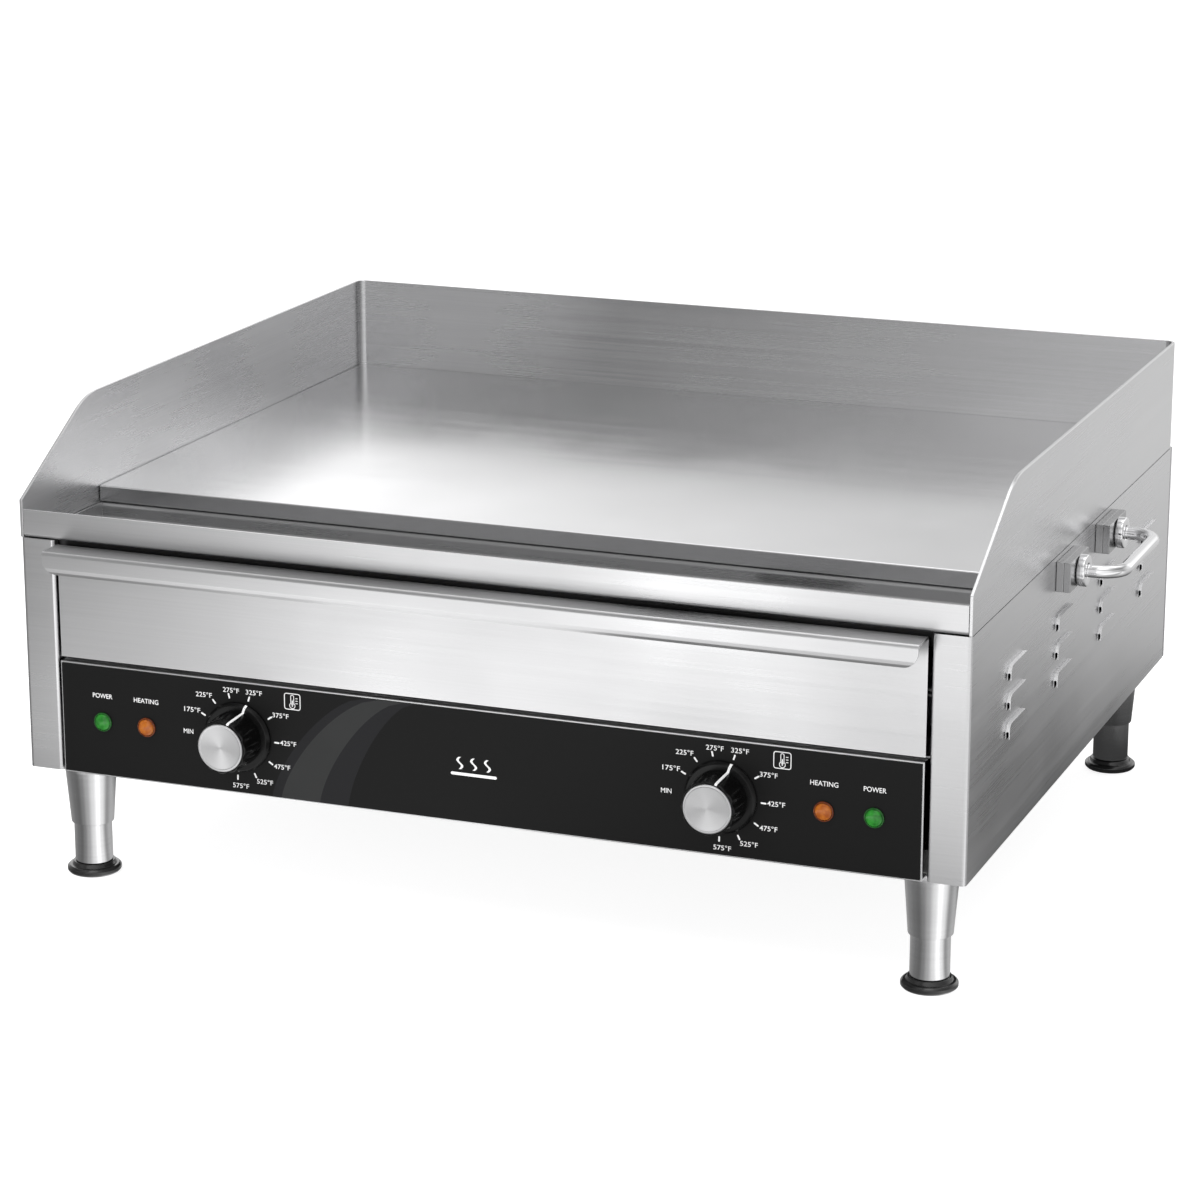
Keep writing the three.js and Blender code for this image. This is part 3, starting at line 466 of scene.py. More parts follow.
STEEL_GRAIN_X = (6.0, 800.0, 800.0)  # streaks that run along X
STEEL_GRAIN_UPRIGHT = (800.0, 800.0, 6.0)  # streaks that run up and down
STEEL_GRAIN_ROUND = (6.0, 6.0, 800.0)  # level streaks that follow a wall round its corners
STEEL_GRAIN_PLATE = (5.0, 500.0, 5.0)
STEEL_GRAIN_LEG = (6.0, 6.0, 1200.0)

LOOKS = {
    "guard_steel": steel("guard_steel", 0.60, 0.27, STEEL_GRAIN_ROUND, relief=0.05),
    "front_steel": steel("front_steel", 0.60, 0.30, STEEL_GRAIN_X, anisotropy=0.7),
    # the side steel carries a painted sheen on the louvres' sides
    "side_steel": steel("side_steel", 0.58, 0.30, STEEL_GRAIN_ROUND, anisotropy=0.7, change=painted_sheen_louvres),
    "plate_steel": steel("plate_steel", 0.62, 0.20, STEEL_GRAIN_PLATE, 0.5, streak=0.03, relief=0.05),
    "leg_steel": steel("leg_steel", 0.66, 0.16, STEEL_GRAIN_LEG, anisotropy=0.4, relief=0.05),
    "inner_steel": galvanised(),
    "bracket_steel": steel("bracket_steel", 0.33, 0.28, STEEL_GRAIN_UPRIGHT, relief=0.2),
    # the trough steel carries painted shade behind its front band
    "trough_steel": steel("trough_steel", 0.60, 0.30, STEEL_GRAIN_X, anisotropy=0.7, change=painted_shade_trough),
    "chrome": chrome(),
    "cap_aluminium": spun_aluminium(),
    "knob_black": black_plastic("knob_black", 0.0030, 0.26, specular=0.22),
    "foot_black": black_plastic("foot_black", 0.010, 0.22, grain=500.0, relief=0.05, coat=0.3),
    "gland_black": black_plastic("gland_black", 0.016, 0.42),
    "overlay_black": film("overlay_black", (0.0066, 0.0066, 0.0066)),
    "swoosh_dark": film("swoosh_dark", (0.0142, 0.0142, 0.0156)),
    "swoosh_light": film("swoosh_light", (0.0306, 0.0312, 0.0314)),
    "print_white": film("print_white", (0.86, 0.86, 0.86)),
    "lens_green": lens("lens_green", (0.008, 0.13, 0.010), (0.022, 0.23, 0.022)),
    "lens_amber": lens("lens_amber", (0.29, 0.062, 0.003), (0.42, 0.12, 0.010)),
    # The rims take darker copies of the lens colours: painted shade round each lens.
    "lens_green_rim": lens("lens_green_rim", (0.004, 0.050, 0.006), (0.010, 0.09, 0.012)),
    "lens_amber_rim": lens("lens_amber_rim", (0.085, 0.016, 0.004), (0.16, 0.035, 0.006)),
    "phenolic": mineral("phenolic", (0.020, 0.014, 0.011), (0.045, 0.030, 0.022), 420.0, 0.55, 0.15, 0.0001),
    "ceramic_fibre": mineral("ceramic_fibre", (0.62, 0.58, 0.48), (0.82, 0.79, 0.7), 260.0, 0.95, 0.6, 6e-4),
    "cable_sleeve": mineral("cable_sleeve", (0.48, 0.42, 0.30), (0.70, 0.64, 0.50), 900.0, 0.9, 0.5, 0.0003),
    "element_sheath": heated_metal("element_sheath", (0.07, 0.06, 0.06), (0.16, 0.14, 0.12), 0.5),
    "copper": heated_metal("copper", (0.42, 0.19, 0.10), (0.62, 0.32, 0.18), 0.32),
}

# ---------------------------------------------------------------- shape helpers


def box_shape(low, high):
    (x0, y0, z0), (x1, y1, z1) = low, high
    verts = [(x, y, z) for z in (z0, z1) for y in (y0, y1) for x in (x0, x1)]
    faces = [(0, 2, 3, 1), (4, 5, 7, 6), (0, 1, 5, 4), (2, 6, 7, 3), (0, 4, 6, 2), (1, 3, 7, 5)]
    return verts, faces


def joined(*shapes):
    verts, faces = [], []
    for shape_verts, shape_faces in shapes:
        base = len(verts)
        verts.extend(shape_verts)
        faces.extend(tuple(base + i for i in face) for face in shape_faces)
    return verts, faces


def arc(centre, radius, start, end, steps):
    """Points of an arc in degrees, both ends included."""
    turns = [math.radians(start + (end - start) * i / steps) for i in range(steps + 1)]
    return [(centre[0] + radius * math.cos(t), centre[1] + radius * math.sin(t)) for t in turns]


def rounded(points, radius, steps=4, closed=False):
    """A line of points with its inner corners rounded. A point may bring its own radius as a third value."""
    count = len(points)
    result = []
    for i, corner in enumerate(points):
        point = Vector(corner[:2])
        r = corner[2] if len(corner) > 2 else radius
        if r == 0 or (not closed and i in (0, count - 1)):
            result.append(tuple(point))
            continue
        before = (Vector(points[i - 1][:2]) - point).normalized()
        after = (Vector(points[(i + 1) % count][:2]) - point).normalized()
        half = before.angle(after) / 2
        if half > math.pi / 2 - 1e-3:
            result.append(tuple(point))
            continue
        centre = point + (before + after).normalized() * (r / math.sin(half))
        start = point + before * (r / math.tan(half)) - centre
        sweep = start.angle_signed(point + after * (r / math.tan(half)) - centre)
        for step in range(steps + 1):
            turned_start = Matrix.Rotation(-sweep * step / steps, 2) @ start
            result.append(tuple(centre + turned_start))
    return result


def bent_outline(points, thickness, inside=BEND, steps=5):
    """The outline of a sheet along a line of points, with its thickness on the right and round bends."""
    corners = [Vector(p) for p in points]
    stations = []
    for i, corner in enumerate(corners):
        arriving = (corner - corners[i - 1]).normalized() if i else None
        leaving = (corners[i + 1] - corner).normalized() if i < len(corners) - 1 else None
        if arriving is None or leaving is None:
            along = arriving or leaving
            stations.append((corner, Vector((along.y, -along.x))))
            continue
        turn = math.atan2(arriving.cross(leaving), arriving.dot(leaving))
        side = math.copysign(1, turn)
        radius = inside if turn > 0 else inside + thickness
        right = Vector((arriving.y, -arriving.x))
        centre = corner - arriving * radius * math.tan(abs(turn) / 2) - right * radius * side
        for step in range(steps + 1):
            normal = Matrix.Rotation(turn * step / steps, 2) @ right
            stations.append((centre + normal * radius * side, normal))
    near = [tuple(point) for point, _ in stations]
    far = [tuple(point + normal * thickness) for point, normal in stations]
    return near + far[::-1]


def prism(verts):
    """A solid between two outlines, given one after the other with the same number of points."""
    count = len(verts) // 2
    faces = [(i, (i + 1) % count, count + (i + 1) % count, count + i) for i in range(count)]
    return verts, [*faces, tuple(range(count)), tuple(range(2 * count - 1, count - 1, -1))]


ORDERS = {"X": (2, 0, 1), "Y": (0, 2, 1), "Z": (0, 1, 2)}


def extruded(outline, start, end, axis):
    """An outline drawn out along an axis: (y, z) along X, (x, z) along Y or (x, y) along Z."""
    order = ORDERS[axis]
    corners = [(a, b, c) for c in (start, end) for a, b in outline]
    return prism([tuple(corner[i] for i in order) for corner in corners])


AXES = {
    "X": (Vector((0, 1, 0)), Vector((0, 0, 1)), Vector((1, 0, 0))),
    "Y": (Vector((0, 0, 1)), Vector((1, 0, 0)), Vector((0, 1, 0))),
    "Z": (Vector((1, 0, 0)), Vector((0, 1, 0)), Vector((0, 0, 1))),
}


def turned(profile, centre, axis="Z", segments=64, ripple=None):
    """A turned piece. profile is (radius, height) pairs, with the height along the axis from the centre. One
    that doesn't start on the axis closes on itself. ripple(radius, height, angle) changes a radius."""
    across, up, along = AXES[axis]
    origin = Vector(centre)
    rings, verts, faces = [], [], []
    for radius, height in profile:
        if radius == 0:
            rings.append([len(verts)] * segments)
            verts.append(tuple(origin + along * height))
            continue
        rings.append(list(range(len(verts), len(verts) + segments)))
        for i in range(segments):
            angle = 2 * math.pi * i / segments
            r = ripple(radius, height, angle) if ripple else radius
            turn = across * math.cos(angle) + up * math.sin(angle)
            verts.append(tuple(origin + turn * r + along * height))
    closed = profile[0][0] != 0
    pairs = list(zip(rings, rings[1:] + ([rings[0]] if closed else [])))
    for low, high in pairs:
        for i in range(segments):
            j = (i + 1) % segments
            face = []
            for index in (low[i], low[j], high[j], high[i]):
                if index not in face:
                    face.append(index)
            if len(face) > 2:
                faces.append(tuple(face))
    return verts, faces


def bent_tube(corners, radius, bend, segments=32, steps=10):
    """A round bar along straight runs and round bends."""
    points = [Vector(c) for c in corners]
    stations = []
    for i, point in enumerate(points):
        arriving = (point - points[i - 1]).normalized() if i else None
        leaving = (points[i + 1] - point).normalized() if i < len(points) - 1 else None
        if arriving is None or leaving is None:
            stations.append((point, arriving or leaving))
            continue
        angle = arriving.angle(leaving)
        start = point - arriving * bend * math.tan(angle / 2)
        inward = (leaving - arriving * arriving.dot(leaving)).normalized()
        for step in range(steps + 1):
            a = angle * step / steps
            where = start + arriving * bend * math.sin(a) + inward * bend * (1 - math.cos(a))
            stations.append((where, arriving * math.cos(a) + inward * math.sin(a)))
    plane = (points[1] - points[0]).cross(points[2] - points[1]).normalized()
    verts, faces = [], []
    for where, tangent in stations:
        side = tangent.cross(plane)
        for i in range(segments):
            a = 2 * math.pi * i / segments
            verts.append(tuple(where + side * radius * math.cos(a) + plane * radius * math.sin(a)))
    for ring in range(len(stations) - 1):
        for i in range(segments):
            j = (i + 1) % segments
            base, top = ring * segments, (ring + 1) * segments
            faces.append((base + i, base + j, top + j, top + i))
    last = (len(stations) - 1) * segments
    return verts, [*faces, tuple(range(segments)), tuple(range(last + segments - 1, last - 1, -1))]


def mirrored(shape, side):
    verts, faces = shape
    return [(x * side, y, z) for x, y, z in verts], faces


def mesh_of(name, shape):
    """A mesh in the frame, in metres, with its faces pointing out."""
    verts, faces = shape
    mesh = bpy.data.meshes.new(name)
    mesh.from_pydata([to_frame(v) for v in verts], [], faces)
    work = bmesh.new()
    work.from_mesh(mesh)
    bmesh.ops.remove_doubles(work, verts=work.verts, dist=1e-7)
    bmesh.ops.recalc_face_normals(work, faces=work.faces)
    work.to_mesh(mesh)
    work.free()
    return mesh


def combine(mesh, other_shapes, operation):
    """Joins shapes to a mesh or cuts them out of it."""
    scene = bpy.context.scene
    base = bpy.data.objects.new("base", mesh)
    tool = bpy.data.objects.new("tool", mesh_of("tool", joined(*other_shapes)))
    scene.collection.objects.link(base)
    scene.collection.objects.link(tool)
    modifier = base.modifiers.new("combine", "BOOLEAN")
    modifier.object = tool
    modifier.operation = operation
    modifier.solver = "MANIFOLD"
    bpy.context.view_layer.update()
    result = bpy.data.meshes.new_from_object(base.evaluated_get(bpy.context.evaluated_depsgraph_get()))
    bpy.data.objects.remove(base)
    bpy.data.objects.remove(tool)
    return result


def soften(obj, width, segments=2, angle=35.0):
    """Small round edges, as pressed, cut or moulded pieces have."""
    bevel = obj.modifiers.new("soft_edges", "BEVEL")
    bevel.width = width * MM
    bevel.segments = segments
    bevel.limit_method = "ANGLE"
    bevel.angle_limit = math.radians(angle)
    bevel.use_clamp_overlap = True
    even = obj.modifiers.new("even_normals", "WEIGHTED_NORMAL")
    even.keep_sharp = True


def build(name, shape, look, body="cabinet", slot=None, replaces=(), edge=0.0, segments=2, sharp=32.0):
    """A piece from (vertices, faces) or a mesh, with its look, its body and the nodes it stands for."""
    mesh = shape if isinstance(shape, bpy.types.Mesh) else mesh_of(name, shape)
    mesh.name = name
    mesh.polygons.foreach_set("use_smooth", [True] * len(mesh.polygons))
    mesh.set_sharp_from_angle(angle=math.radians(sharp))
    obj = bpy.data.objects.new(name, mesh)
    bpy.context.scene.collection.objects.link(obj)
    obj.data.materials.clear()
    obj.data.materials.append(LOOKS[look])
    if edge:
        soften(obj, edge, segments)
    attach(obj, body)
    if replaces:
        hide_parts(*replaces)
    return obj


# ---------------------------------------------------------------- upper assembly


def guard_edge(y):
    """Height of the guard's top edge at a distance behind the front face."""
    rise = GUARD_TOP - SEAM
    slope = math.atan2(rise - GUARD_FRONT_RISE, GUARD_SLOPE_RUN)
    arc_end = GUARD_SLOPE_RUN + GUARD_ARC * math.tan(slope / 2)
    arc_start = arc_end - GUARD_ARC * math.sin(slope)
    if y >= arc_end:
        return GUARD_TOP
    if y <= arc_start:
        return SEAM + GUARD_FRONT_RISE + y * math.tan(slope)
    return GUARD_TOP - GUARD_ARC + math.sqrt(GUARD_ARC**2 - (arc_end - y) ** 2)


def build_splash_guard():
    outer = GUARD_BEND + GUARD_SHEET
    side_ys = [*range(0, 60, 10), *range(60, 126, 3), *range(130, int(DEPTH - outer), 40)]
    line = [(Vector((HALF_WIDTH, y)), Vector((1, 0))) for y in side_ys]
    corner = Vector((HALF_WIDTH - outer, DEPTH - outer))
    for step in range(9):
        normal = Vector((math.cos(math.pi / 2 * step / 8), math.sin(math.pi / 2 * step / 8)))
        line.append((corner + normal * outer, normal))
    line += [(Vector((-p.x, p.y)), Vector((-n.x, n.y))) for p, n in reversed(line)]
    verts, faces = [], []
    for point, normal in line:
        inner = point - normal * GUARD_SHEET
        top = guard_edge(point.y)
        verts += [(*point, GUARD_BOTTOM), (*point, top), (*inner, top), (*inner, GUARD_BOTTOM)]
    for i in range(len(line) - 1):
        for j in range(4):
            k = (j + 1) % 4
            faces.append((4 * i + j, 4 * i + k, 4 * i + 4 + k, 4 * i + 4 + j))
    last = 4 * (len(line) - 1)
    faces += [(0, 1, 2, 3), (last + 3, last + 2, last + 1, last)]
    build("guard", (verts, faces), "guard_steel", replaces=["splash_guard"], edge=0.3, segments=2)


def oblong(x, y, length, breadth, steps=12):
    r = breadth / 2
    half = length / 2 - r
    return arc((x + half, y), r, -90, 90, steps) + arc((x - half, y), r, 90, 270, steps)


def build_grease_trough():
    low, high = span("grease_trough")
    plate_front = span("griddle_plate")[0].y
    floor = SEAM - TROUGH_DEPTH
    ledge = high.y - TROUGH_FLANGE
    flange_top = span("griddle_plate")[1].z - 10.8  # just under the plate
    line = [(SHEET, high.z), (SHEET, GUARD_BOTTOM + SHEET), (TROUGH_JOG + SHEET, GUARD_BOTTOM + SHEET)]
    line += [(TROUGH_JOG + SHEET, floor), (ledge, floor), (ledge, flange_top), (high.y, flange_top)]
    body = mesh_of("trough", extruded(bent_outline(line, SHEET, 1.4), low.x, high.x, "X"))
    ends = [
        box_shape((x - SHEET / 2, TROUGH_JOG + 0.4, floor - SHEET + 0.2), (x + SHEET / 2, plate_front, SEAM))
        for x in (low.x + SHEET / 2, high.x - SHEET / 2)
    ]
    chute = oblong(DRAIN_X, DRAIN_Y, DRAIN_LENGTH + 2 * SHEET, DRAIN_WIDTH + 2 * SHEET)
    slot = oblong(DRAIN_X, DRAIN_Y, DRAIN_LENGTH, DRAIN_WIDTH)
    body = combine(body, [*ends, extruded(chute, low.z, floor - 0.5, "Z")], "UNION")
    body = combine(body, [extruded(slot, low.z - 1, floor + 1, "Z")], "DIFFERENCE")
    names = {"slot": "cabinet_steel", "replaces": ["grease_trough"]}
    build("grease_trough_sheet", body, "trough_steel", edge=0.15, **names)


# ---------------------------------------------------------------- cabinet


def louvre_hood(front, bottom, wall):
    """One pressed louvre, closed at its top and ends and open below. wall shrinks it for its inside."""
    near, far = front + wall, front + LOUVRE_LENGTH - wall
    top = bottom + LOUVRE_HEIGHT - wall
    corner = LOUVRE_CORNER - wall
    outline = [(near, bottom - wall), (far, bottom - wall)]
    outline += arc((far - corner, top - corner), corner, 0, 90, 10)
    outline += arc((near + corner, top - corner), corner, 90, 180, 10)
    base = HALF_WIDTH - (0.5 if wall == 0 else 3.0)
    return extruded(outline, base, HALF_WIDTH + LOUVRE_DEPTH - wall, "X")


def louvre_mouth(front, bottom):
    """The opening at a louvre's front end, rounded at its top."""
    low, high = HALF_WIDTH + 0.2, HALF_WIDTH + LOUVRE_DEPTH - 0.5
    radius = (high - low) / 2
    top = arc(((low + high) / 2, bottom + LOUVRE_MOUTH - radius), radius, 0, 180, 8)
    outline = [(low, bottom - 0.5), (high, bottom - 0.5), *top]
    return extruded(outline, front - 0.5, front + LOUVRE_WALL + 0.5, "Y")


def build_side_panels():
    high = span("side_panel_right")[1]
    post_inside = HALF_WIDTH - POST_WIDTH
    plan = [
        (post_inside + SHEET, POST_RETURN),
        (post_inside + SHEET, SHEET),
        (HALF_WIDTH - SHEET, SHEET),
        (HALF_WIDTH - SHEET, high.y - SHEET),
        (HALF_WIDTH - REAR_FLANGE, high.y - SHEET),
    ]
    spots = [
        (LOUVRE_FIRST_Y + column * LOUVRE_PITCH_Y, LOUVRE_FIRST_Z + row * LOUVRE_PITCH_Z)
        for column in range(LOUVRE_COLUMNS)
        for row in range(LOUVRE_ROWS)
    ]
    panel = mesh_of("panel", extruded(bent_outline(plan, SHEET, 1.2), 0.0, SEAM, "Z"))
    flange_low = (HALF_WIDTH - TOP_FLANGE, TOP_FLANGE_START, SEAM - SHEET)
    flange = box_shape(flange_low, (HALF_WIDTH - 0.6, high.y - 2.0, SEAM - 0.02))
    panel = combine(panel, [flange], "UNION")
    panel = combine(panel, [louvre_hood(y, z, 0.0) for y, z in spots], "UNION")
    panel = combine(panel, [louvre_hood(y, z, LOUVRE_WALL) for y, z in spots], "DIFFERENCE")
    panel = combine(panel, [louvre_mouth(y, z) for y, z in spots], "DIFFERENCE")
    for name, side in SIDES:
        mesh = panel if side > 0 else panel.copy()
        if side < 0:
            mesh.transform(Matrix.Scale(-1, 4, Vector((1, 0, 0))))
            mesh.flip_normals()
        names = {"slot": "cabinet_steel", "replaces": [f"side_panel_{name}"]}
        build(f"side_wall_{name}", mesh, "side_steel", edge=0.3, **names)


# ---------------------------------------------------------------- grease drawer


def build_drawer_front():
    low, high = span("drawer_front")
    pull_bottom = high.z - PULL_DROP
    curl = [(low.y + 1.5, pull_bottom), (low.y + 0.5, pull_bottom + 1.9), (low.y, pull_bottom + 4.2)]
    line = [*curl, (low.y, high.z), (SHEET, high.z), (SHEET, low.z)]
    front = mesh_of("front", extruded(bent_outline(line, SHEET, 1.0), low.x, high.x, "X"))
    cutters = []
    for _name, side in SIDES:
        x = side * high.x
        centre = (x - side * PULL_CORNER, pull_bottom + PULL_CORNER)
        start = 0 if side > 0 else 180
        end = -90 if side > 0 else 270
        outline = [(x + side * 2, pull_bottom + PULL_CORNER), *arc(centre, PULL_CORNER, start, end, 12)]
        outline += [(centre[0], pull_bottom - 2), (x + side * 2, pull_bottom - 2)]
        cutters.append(extruded(outline, low.y - 2, low.y + SHEET + 2.0, "Y"))
    front = combine(front, cutters, "DIFFERENCE")
    names = {"body": "grease_drawer", "slot": "cabinet_steel", "replaces": ["drawer_front"]}
    build("drawer_face", front, "front_steel", edge=0.5, segments=3, **names)


# ---------------------------------------------------------------- controls


def build_knob(name, side):
    centre = (side * KNOB_X, 0.0, KNOB_Z)
    back = KNOB_BACK
    skirt_front = back - SKIRT_THICKNESS
    recess = span(f"knob_cap_{name}")[1].y + 0.3

    def scalloped(radius, height, angle):
        if radius < CAP_RADIUS + 0.5 or height > skirt_front + 0.3:
            return radius
        wave = 0.5 - 0.5 * math.cos(SCALLOPS * angle)
        return radius - SCALLOP_DEPTH * wave**1.5

    skirt = [(KNOB_BORE, back), (SKIRT_RADIUS, back), (SKIRT_RADIUS, back - 1.2)]
    skirt += [(SKIRT_RADIUS - 1.6, skirt_front), (15.0, skirt_front), (KNOB_BORE, skirt_front)]
    skirt = turned(rounded(skirt, 0.5, closed=True), centre, "Y", 96)
    grip = [(KNOB_BORE, skirt_front + 0.6, 0), (KNOB_BACK_RADIUS, skirt_front + 0.6, 0)]
    grip += [(KNOB_FRONT_RADIUS + 0.3, KNOB_FRONT, 0.9), (CAP_RADIUS + 0.3, KNOB_FRONT, 0.3)]
    grip += [(CAP_RADIUS + 0.3, recess, 0), (KNOB_BORE, recess, 0)]
    grip = turned(rounded(grip, 0.5, closed=True), centre, "Y", 192, scalloped)
    names = {"body": f"{name}_knob", "replaces": [f"knob_{name}"]}
    build(f"dial_{name}", joined(skirt, grip), "knob_black", sharp=40, **names)
    build_cap(name, centre)
    build_pointer(name, centre, skirt_front)


def build_cap(name, centre):
    """The turned disc in the knob's front, with a shallow step inside its edge."""
    low, high = span(f"knob_cap_{name}")
    step = low.y + 0.25
    cap = [(0, step), (CAP_RADIUS - 1.6, step), (CAP_RADIUS - 1.3, low.y), (CAP_RADIUS - 0.4, low.y)]
    cap += [(CAP_RADIUS, low.y + 0.5), (CAP_RADIUS, high.y), (0, high.y)]
    cap = turned(rounded(cap, 0.12, 3), centre, "Y", 96)
    names = {"body": f"{name}_knob", "replaces": [f"knob_cap_{name}"]}
    build(f"dial_cap_{name}", cap, "cap_aluminium", sharp=25, **names)


def build_pointer(name, centre, skirt_front):
    """The white line down the side of the knob and out over its skirt."""
    half = 0.75
    lift = 0.12
    line = [
        (KNOB_FRONT_RADIUS - 0.9, KNOB_FRONT - lift + 0.05),
        (KNOB_FRONT_RADIUS + 0.2 + lift, KNOB_FRONT + 0.5),
        (KNOB_BACK_RADIUS + lift, skirt_front - lift),
        (SKIRT_RADIUS - 1.7, skirt_front - lift),
        (SKIRT_RADIUS + 0.02, KNOB_BACK - 1.2),
    ]
    inner = [(r - 0.5, y + 0.5) for r, y in line]
    outline = rounded([(r, y, 0.3) for r, y in line], 0.3, 3) + inner[::-1]
    turn = Matrix.Rotation(math.radians(POINTER_ANGLE), 4, "Y")
    verts = [turn @ Vector((x, y, r)) + Vector(centre) for x in (-half, half) for r, y in outline]
    shape = prism([tuple(v) for v in verts])
    build(f"pointer_{name}", shape, "print_white", body=f"{name}_knob", slot="knob_black")


def build_lamp(node, look, slot):
    low, high = span(node)
    centre = ((low.x + high.x) / 2, 0.0, (low.z + high.z) / 2)
    seat = OVERLAY_FACE - 0.3
    edge, inside = LAMP_RADIUS * 0.86, LAMP_RADIUS * 0.88
    dome = [(0, low.y)]
    for step in range(1, 9):
        t = step / 8 * math.pi / 2
        dome.append((edge * math.sin(t), low.y + LENS_RISE * (1 - math.cos(t))))
    dome += [(edge, seat), (0, seat)]
    rim = [(inside, seat), (inside, OVERLAY_FACE - 1.5), (LAMP_RADIUS, OVERLAY_FACE - 1.1)]
    rim = rounded([*rim, (LAMP_RADIUS + 0.3, seat)], 0.25, closed=True)
    build(f"{node}_lens", turned(dome, centre, "Y", 48), look, slot=slot)
    # the rim takes the darker copy of the lens colours, painted shade round the lens
    build(f"{node}_rim", turned(rim, centre, "Y", 48), f"{look}_rim", slot=slot)
    stem = [(0, seat), (LAMP_STEM, seat), (LAMP_STEM, 0.3), (LAMP_RADIUS + 1, 0.3), (LAMP_RADIUS + 1, 1.8)]
    stem += [(LAMP_STEM, 1.8), (LAMP_STEM, high.y), (0, high.y)]
    stem = turned(stem, centre, "Y", 32)
    build(f"{node}_stem", stem, "gland_black", slot=slot, replaces=[node], sharp=40)


# ---------------------------------------------------------------- printing on the panel

DIAL_TICKS = (-63, -37.2, -12.2, 17.6, 56.6, 91.9, 123.4, 154.8, 182)
DIAL_LABELS = (
    ("MIN", -34.1, -0.5),
    ("175°F", -31.5, 13.8),
    ("225°F", -22.8, 24.3),
    ("275°F", -4.1, 29.2),
    ("325°F", 11.4, 29.2),
    ("375°F", 29.1, 16.6),
    ("425°F", 34.0, -0.7),
    ("475°F", 29.5, -16.3),
    ("525°F", 17.5, -27.4),
    ("575°F", 1.0, -31.7),
)


def flat_print(outline):
    """A printed area: an (x, z) outline with the thickness of the ink, on the overlay's face."""
    return extruded(outline, OVERLAY_FACE - PRINT, OVERLAY_FACE + SUNK, "Y")


def words(text, x, z, width, height=LETTER_HEIGHT, weight=0.008):
    """The faces of a word set on the overlay, centred on (x, z) and drawn out to its width."""
    curve = bpy.data.curves.new("word", "FONT")
    curve.body = text
    curve.align_x = "CENTER"
    curve.align_y = "CENTER"
    curve.size = height / 0.72
    curve.offset = weight
    curve.extrude = PRINT / 2
    curve.resolution_u = 4
    holder = bpy.data.objects.new("word", curve)
    bpy.context.scene.collection.objects.link(holder)
    bpy.context.view_layer.update()
    mesh = bpy.data.meshes.new_from_object(holder.evaluated_get(bpy.context.evaluated_depsgraph_get()))
    stretch = width / (max(v.co.x for v in mesh.vertices) - min(v.co.x for v in mesh.vertices))
    verts = [(x + v.co.x * stretch, OVERLAY_FACE - PRINT / 2 - v.co.z, z + v.co.y) for v in mesh.vertices]
    faces = [tuple(p.vertices) for p in mesh.polygons]
    bpy.data.objects.remove(holder)
    return verts, faces


def stadium(x, z, angle, inner, outer, breadth):
    """A short rounded bar that points away from (x, z). The angle is clockwise from straight up."""
    r = breadth / 2
    points = arc((0, outer - r), r, 0, 180, 6) + arc((0, inner + r), r, 180, 360, 6)
    turn = Matrix.Rotation(-math.radians(angle), 2)
    return [tuple(turn @ Vector(p) + Vector((x, z))) for p in points]


def ring_outline(x, z, width, height, corner, stroke):
    """A rounded frame as one solid: outer and inner outlines drawn as a closed band."""

    def loop(inset):
        r = max(corner - inset, 0.2)
        w, h = width / 2 - inset - r, height / 2 - inset - r
        points = []
        for turn, (a, b) in enumerate(((w, h), (-w, h), (-w, -h), (w, -h))):
            points += arc((x + a, z + b), r, 90 * turn, 90 * turn + 90, 4)
        return points

    outer, inner = loop(0.0), loop(stroke)
    count = len(outer)
    verts = [(a, y, b) for y in (OVERLAY_FACE - PRINT, OVERLAY_FACE + SUNK) for a, b in outer + inner]
    faces = []
    for i in range(count):
        j = (i + 1) % count
        faces.append((i, j, count + j, count + i))
        faces.append((2 * count + i, 3 * count + i, 3 * count + j, 2 * count + j))
        faces.append((i, 2 * count + i, 2 * count + j, j))
        faces.append((count + i, count + j, 3 * count + j, 3 * count + i))
    return verts, faces


def build_dial_print(name, side):
    x = side * KNOB_X
    bars = [stadium(x, KNOB_Z, angle, TICK_INNER, TICK_OUTER, TICK_BREADTH) for angle in DIAL_TICKS]
    labels = [words(text, x + dx, KNOB_Z + dz, LETTER_WIDTH * len(text)) for text, dx, dz in DIAL_LABELS]
    shapes = [flat_print(bar) for bar in bars] + labels + thermometer(x + ICON_X, KNOB_Z + ICON_Z)
    build(f"dial_print_{name}", joined(*shapes), "print_white", slot="overlay_black")


def thermometer(x, z):
    """A thermometer with three marks, in a rounded frame."""
    frames = ((0.0, 11.0, 10.5, 1.6, 0.5), (1.1, 2.4, 6.4, 1.1, 0.4), (-2.6, 4.0, 4.0, 1.9, 0.4))
    shapes = [ring_outline(x, z + rise, *sizes) for rise, *sizes in frames]
    shapes.append(flat_print(stadium(x, z - 2.6, 0, -0.7, 3.4, 0.7)))
    for mark in range(3):
        shapes.append(flat_print(stadium(x + 2.9, z - 1.0 + mark * 1.6, 90, -0.8, 0.8, 0.4)))
    return shapes


def build_lamp_words():
    shapes = []
    for node, text, width in (("power_lamp", "POWER", 13.6), ("heating_lamp", "HEATING", 17.0)):
        for name, _side in SIDES:
            low, high = span(f"{node}_{name}")
            shapes.append(words(text, (low.x + high.x) / 2, LAMP_WORDS_Z, width))
    build("lamp_words", joined(*shapes), "print_white", slot="overlay_black")


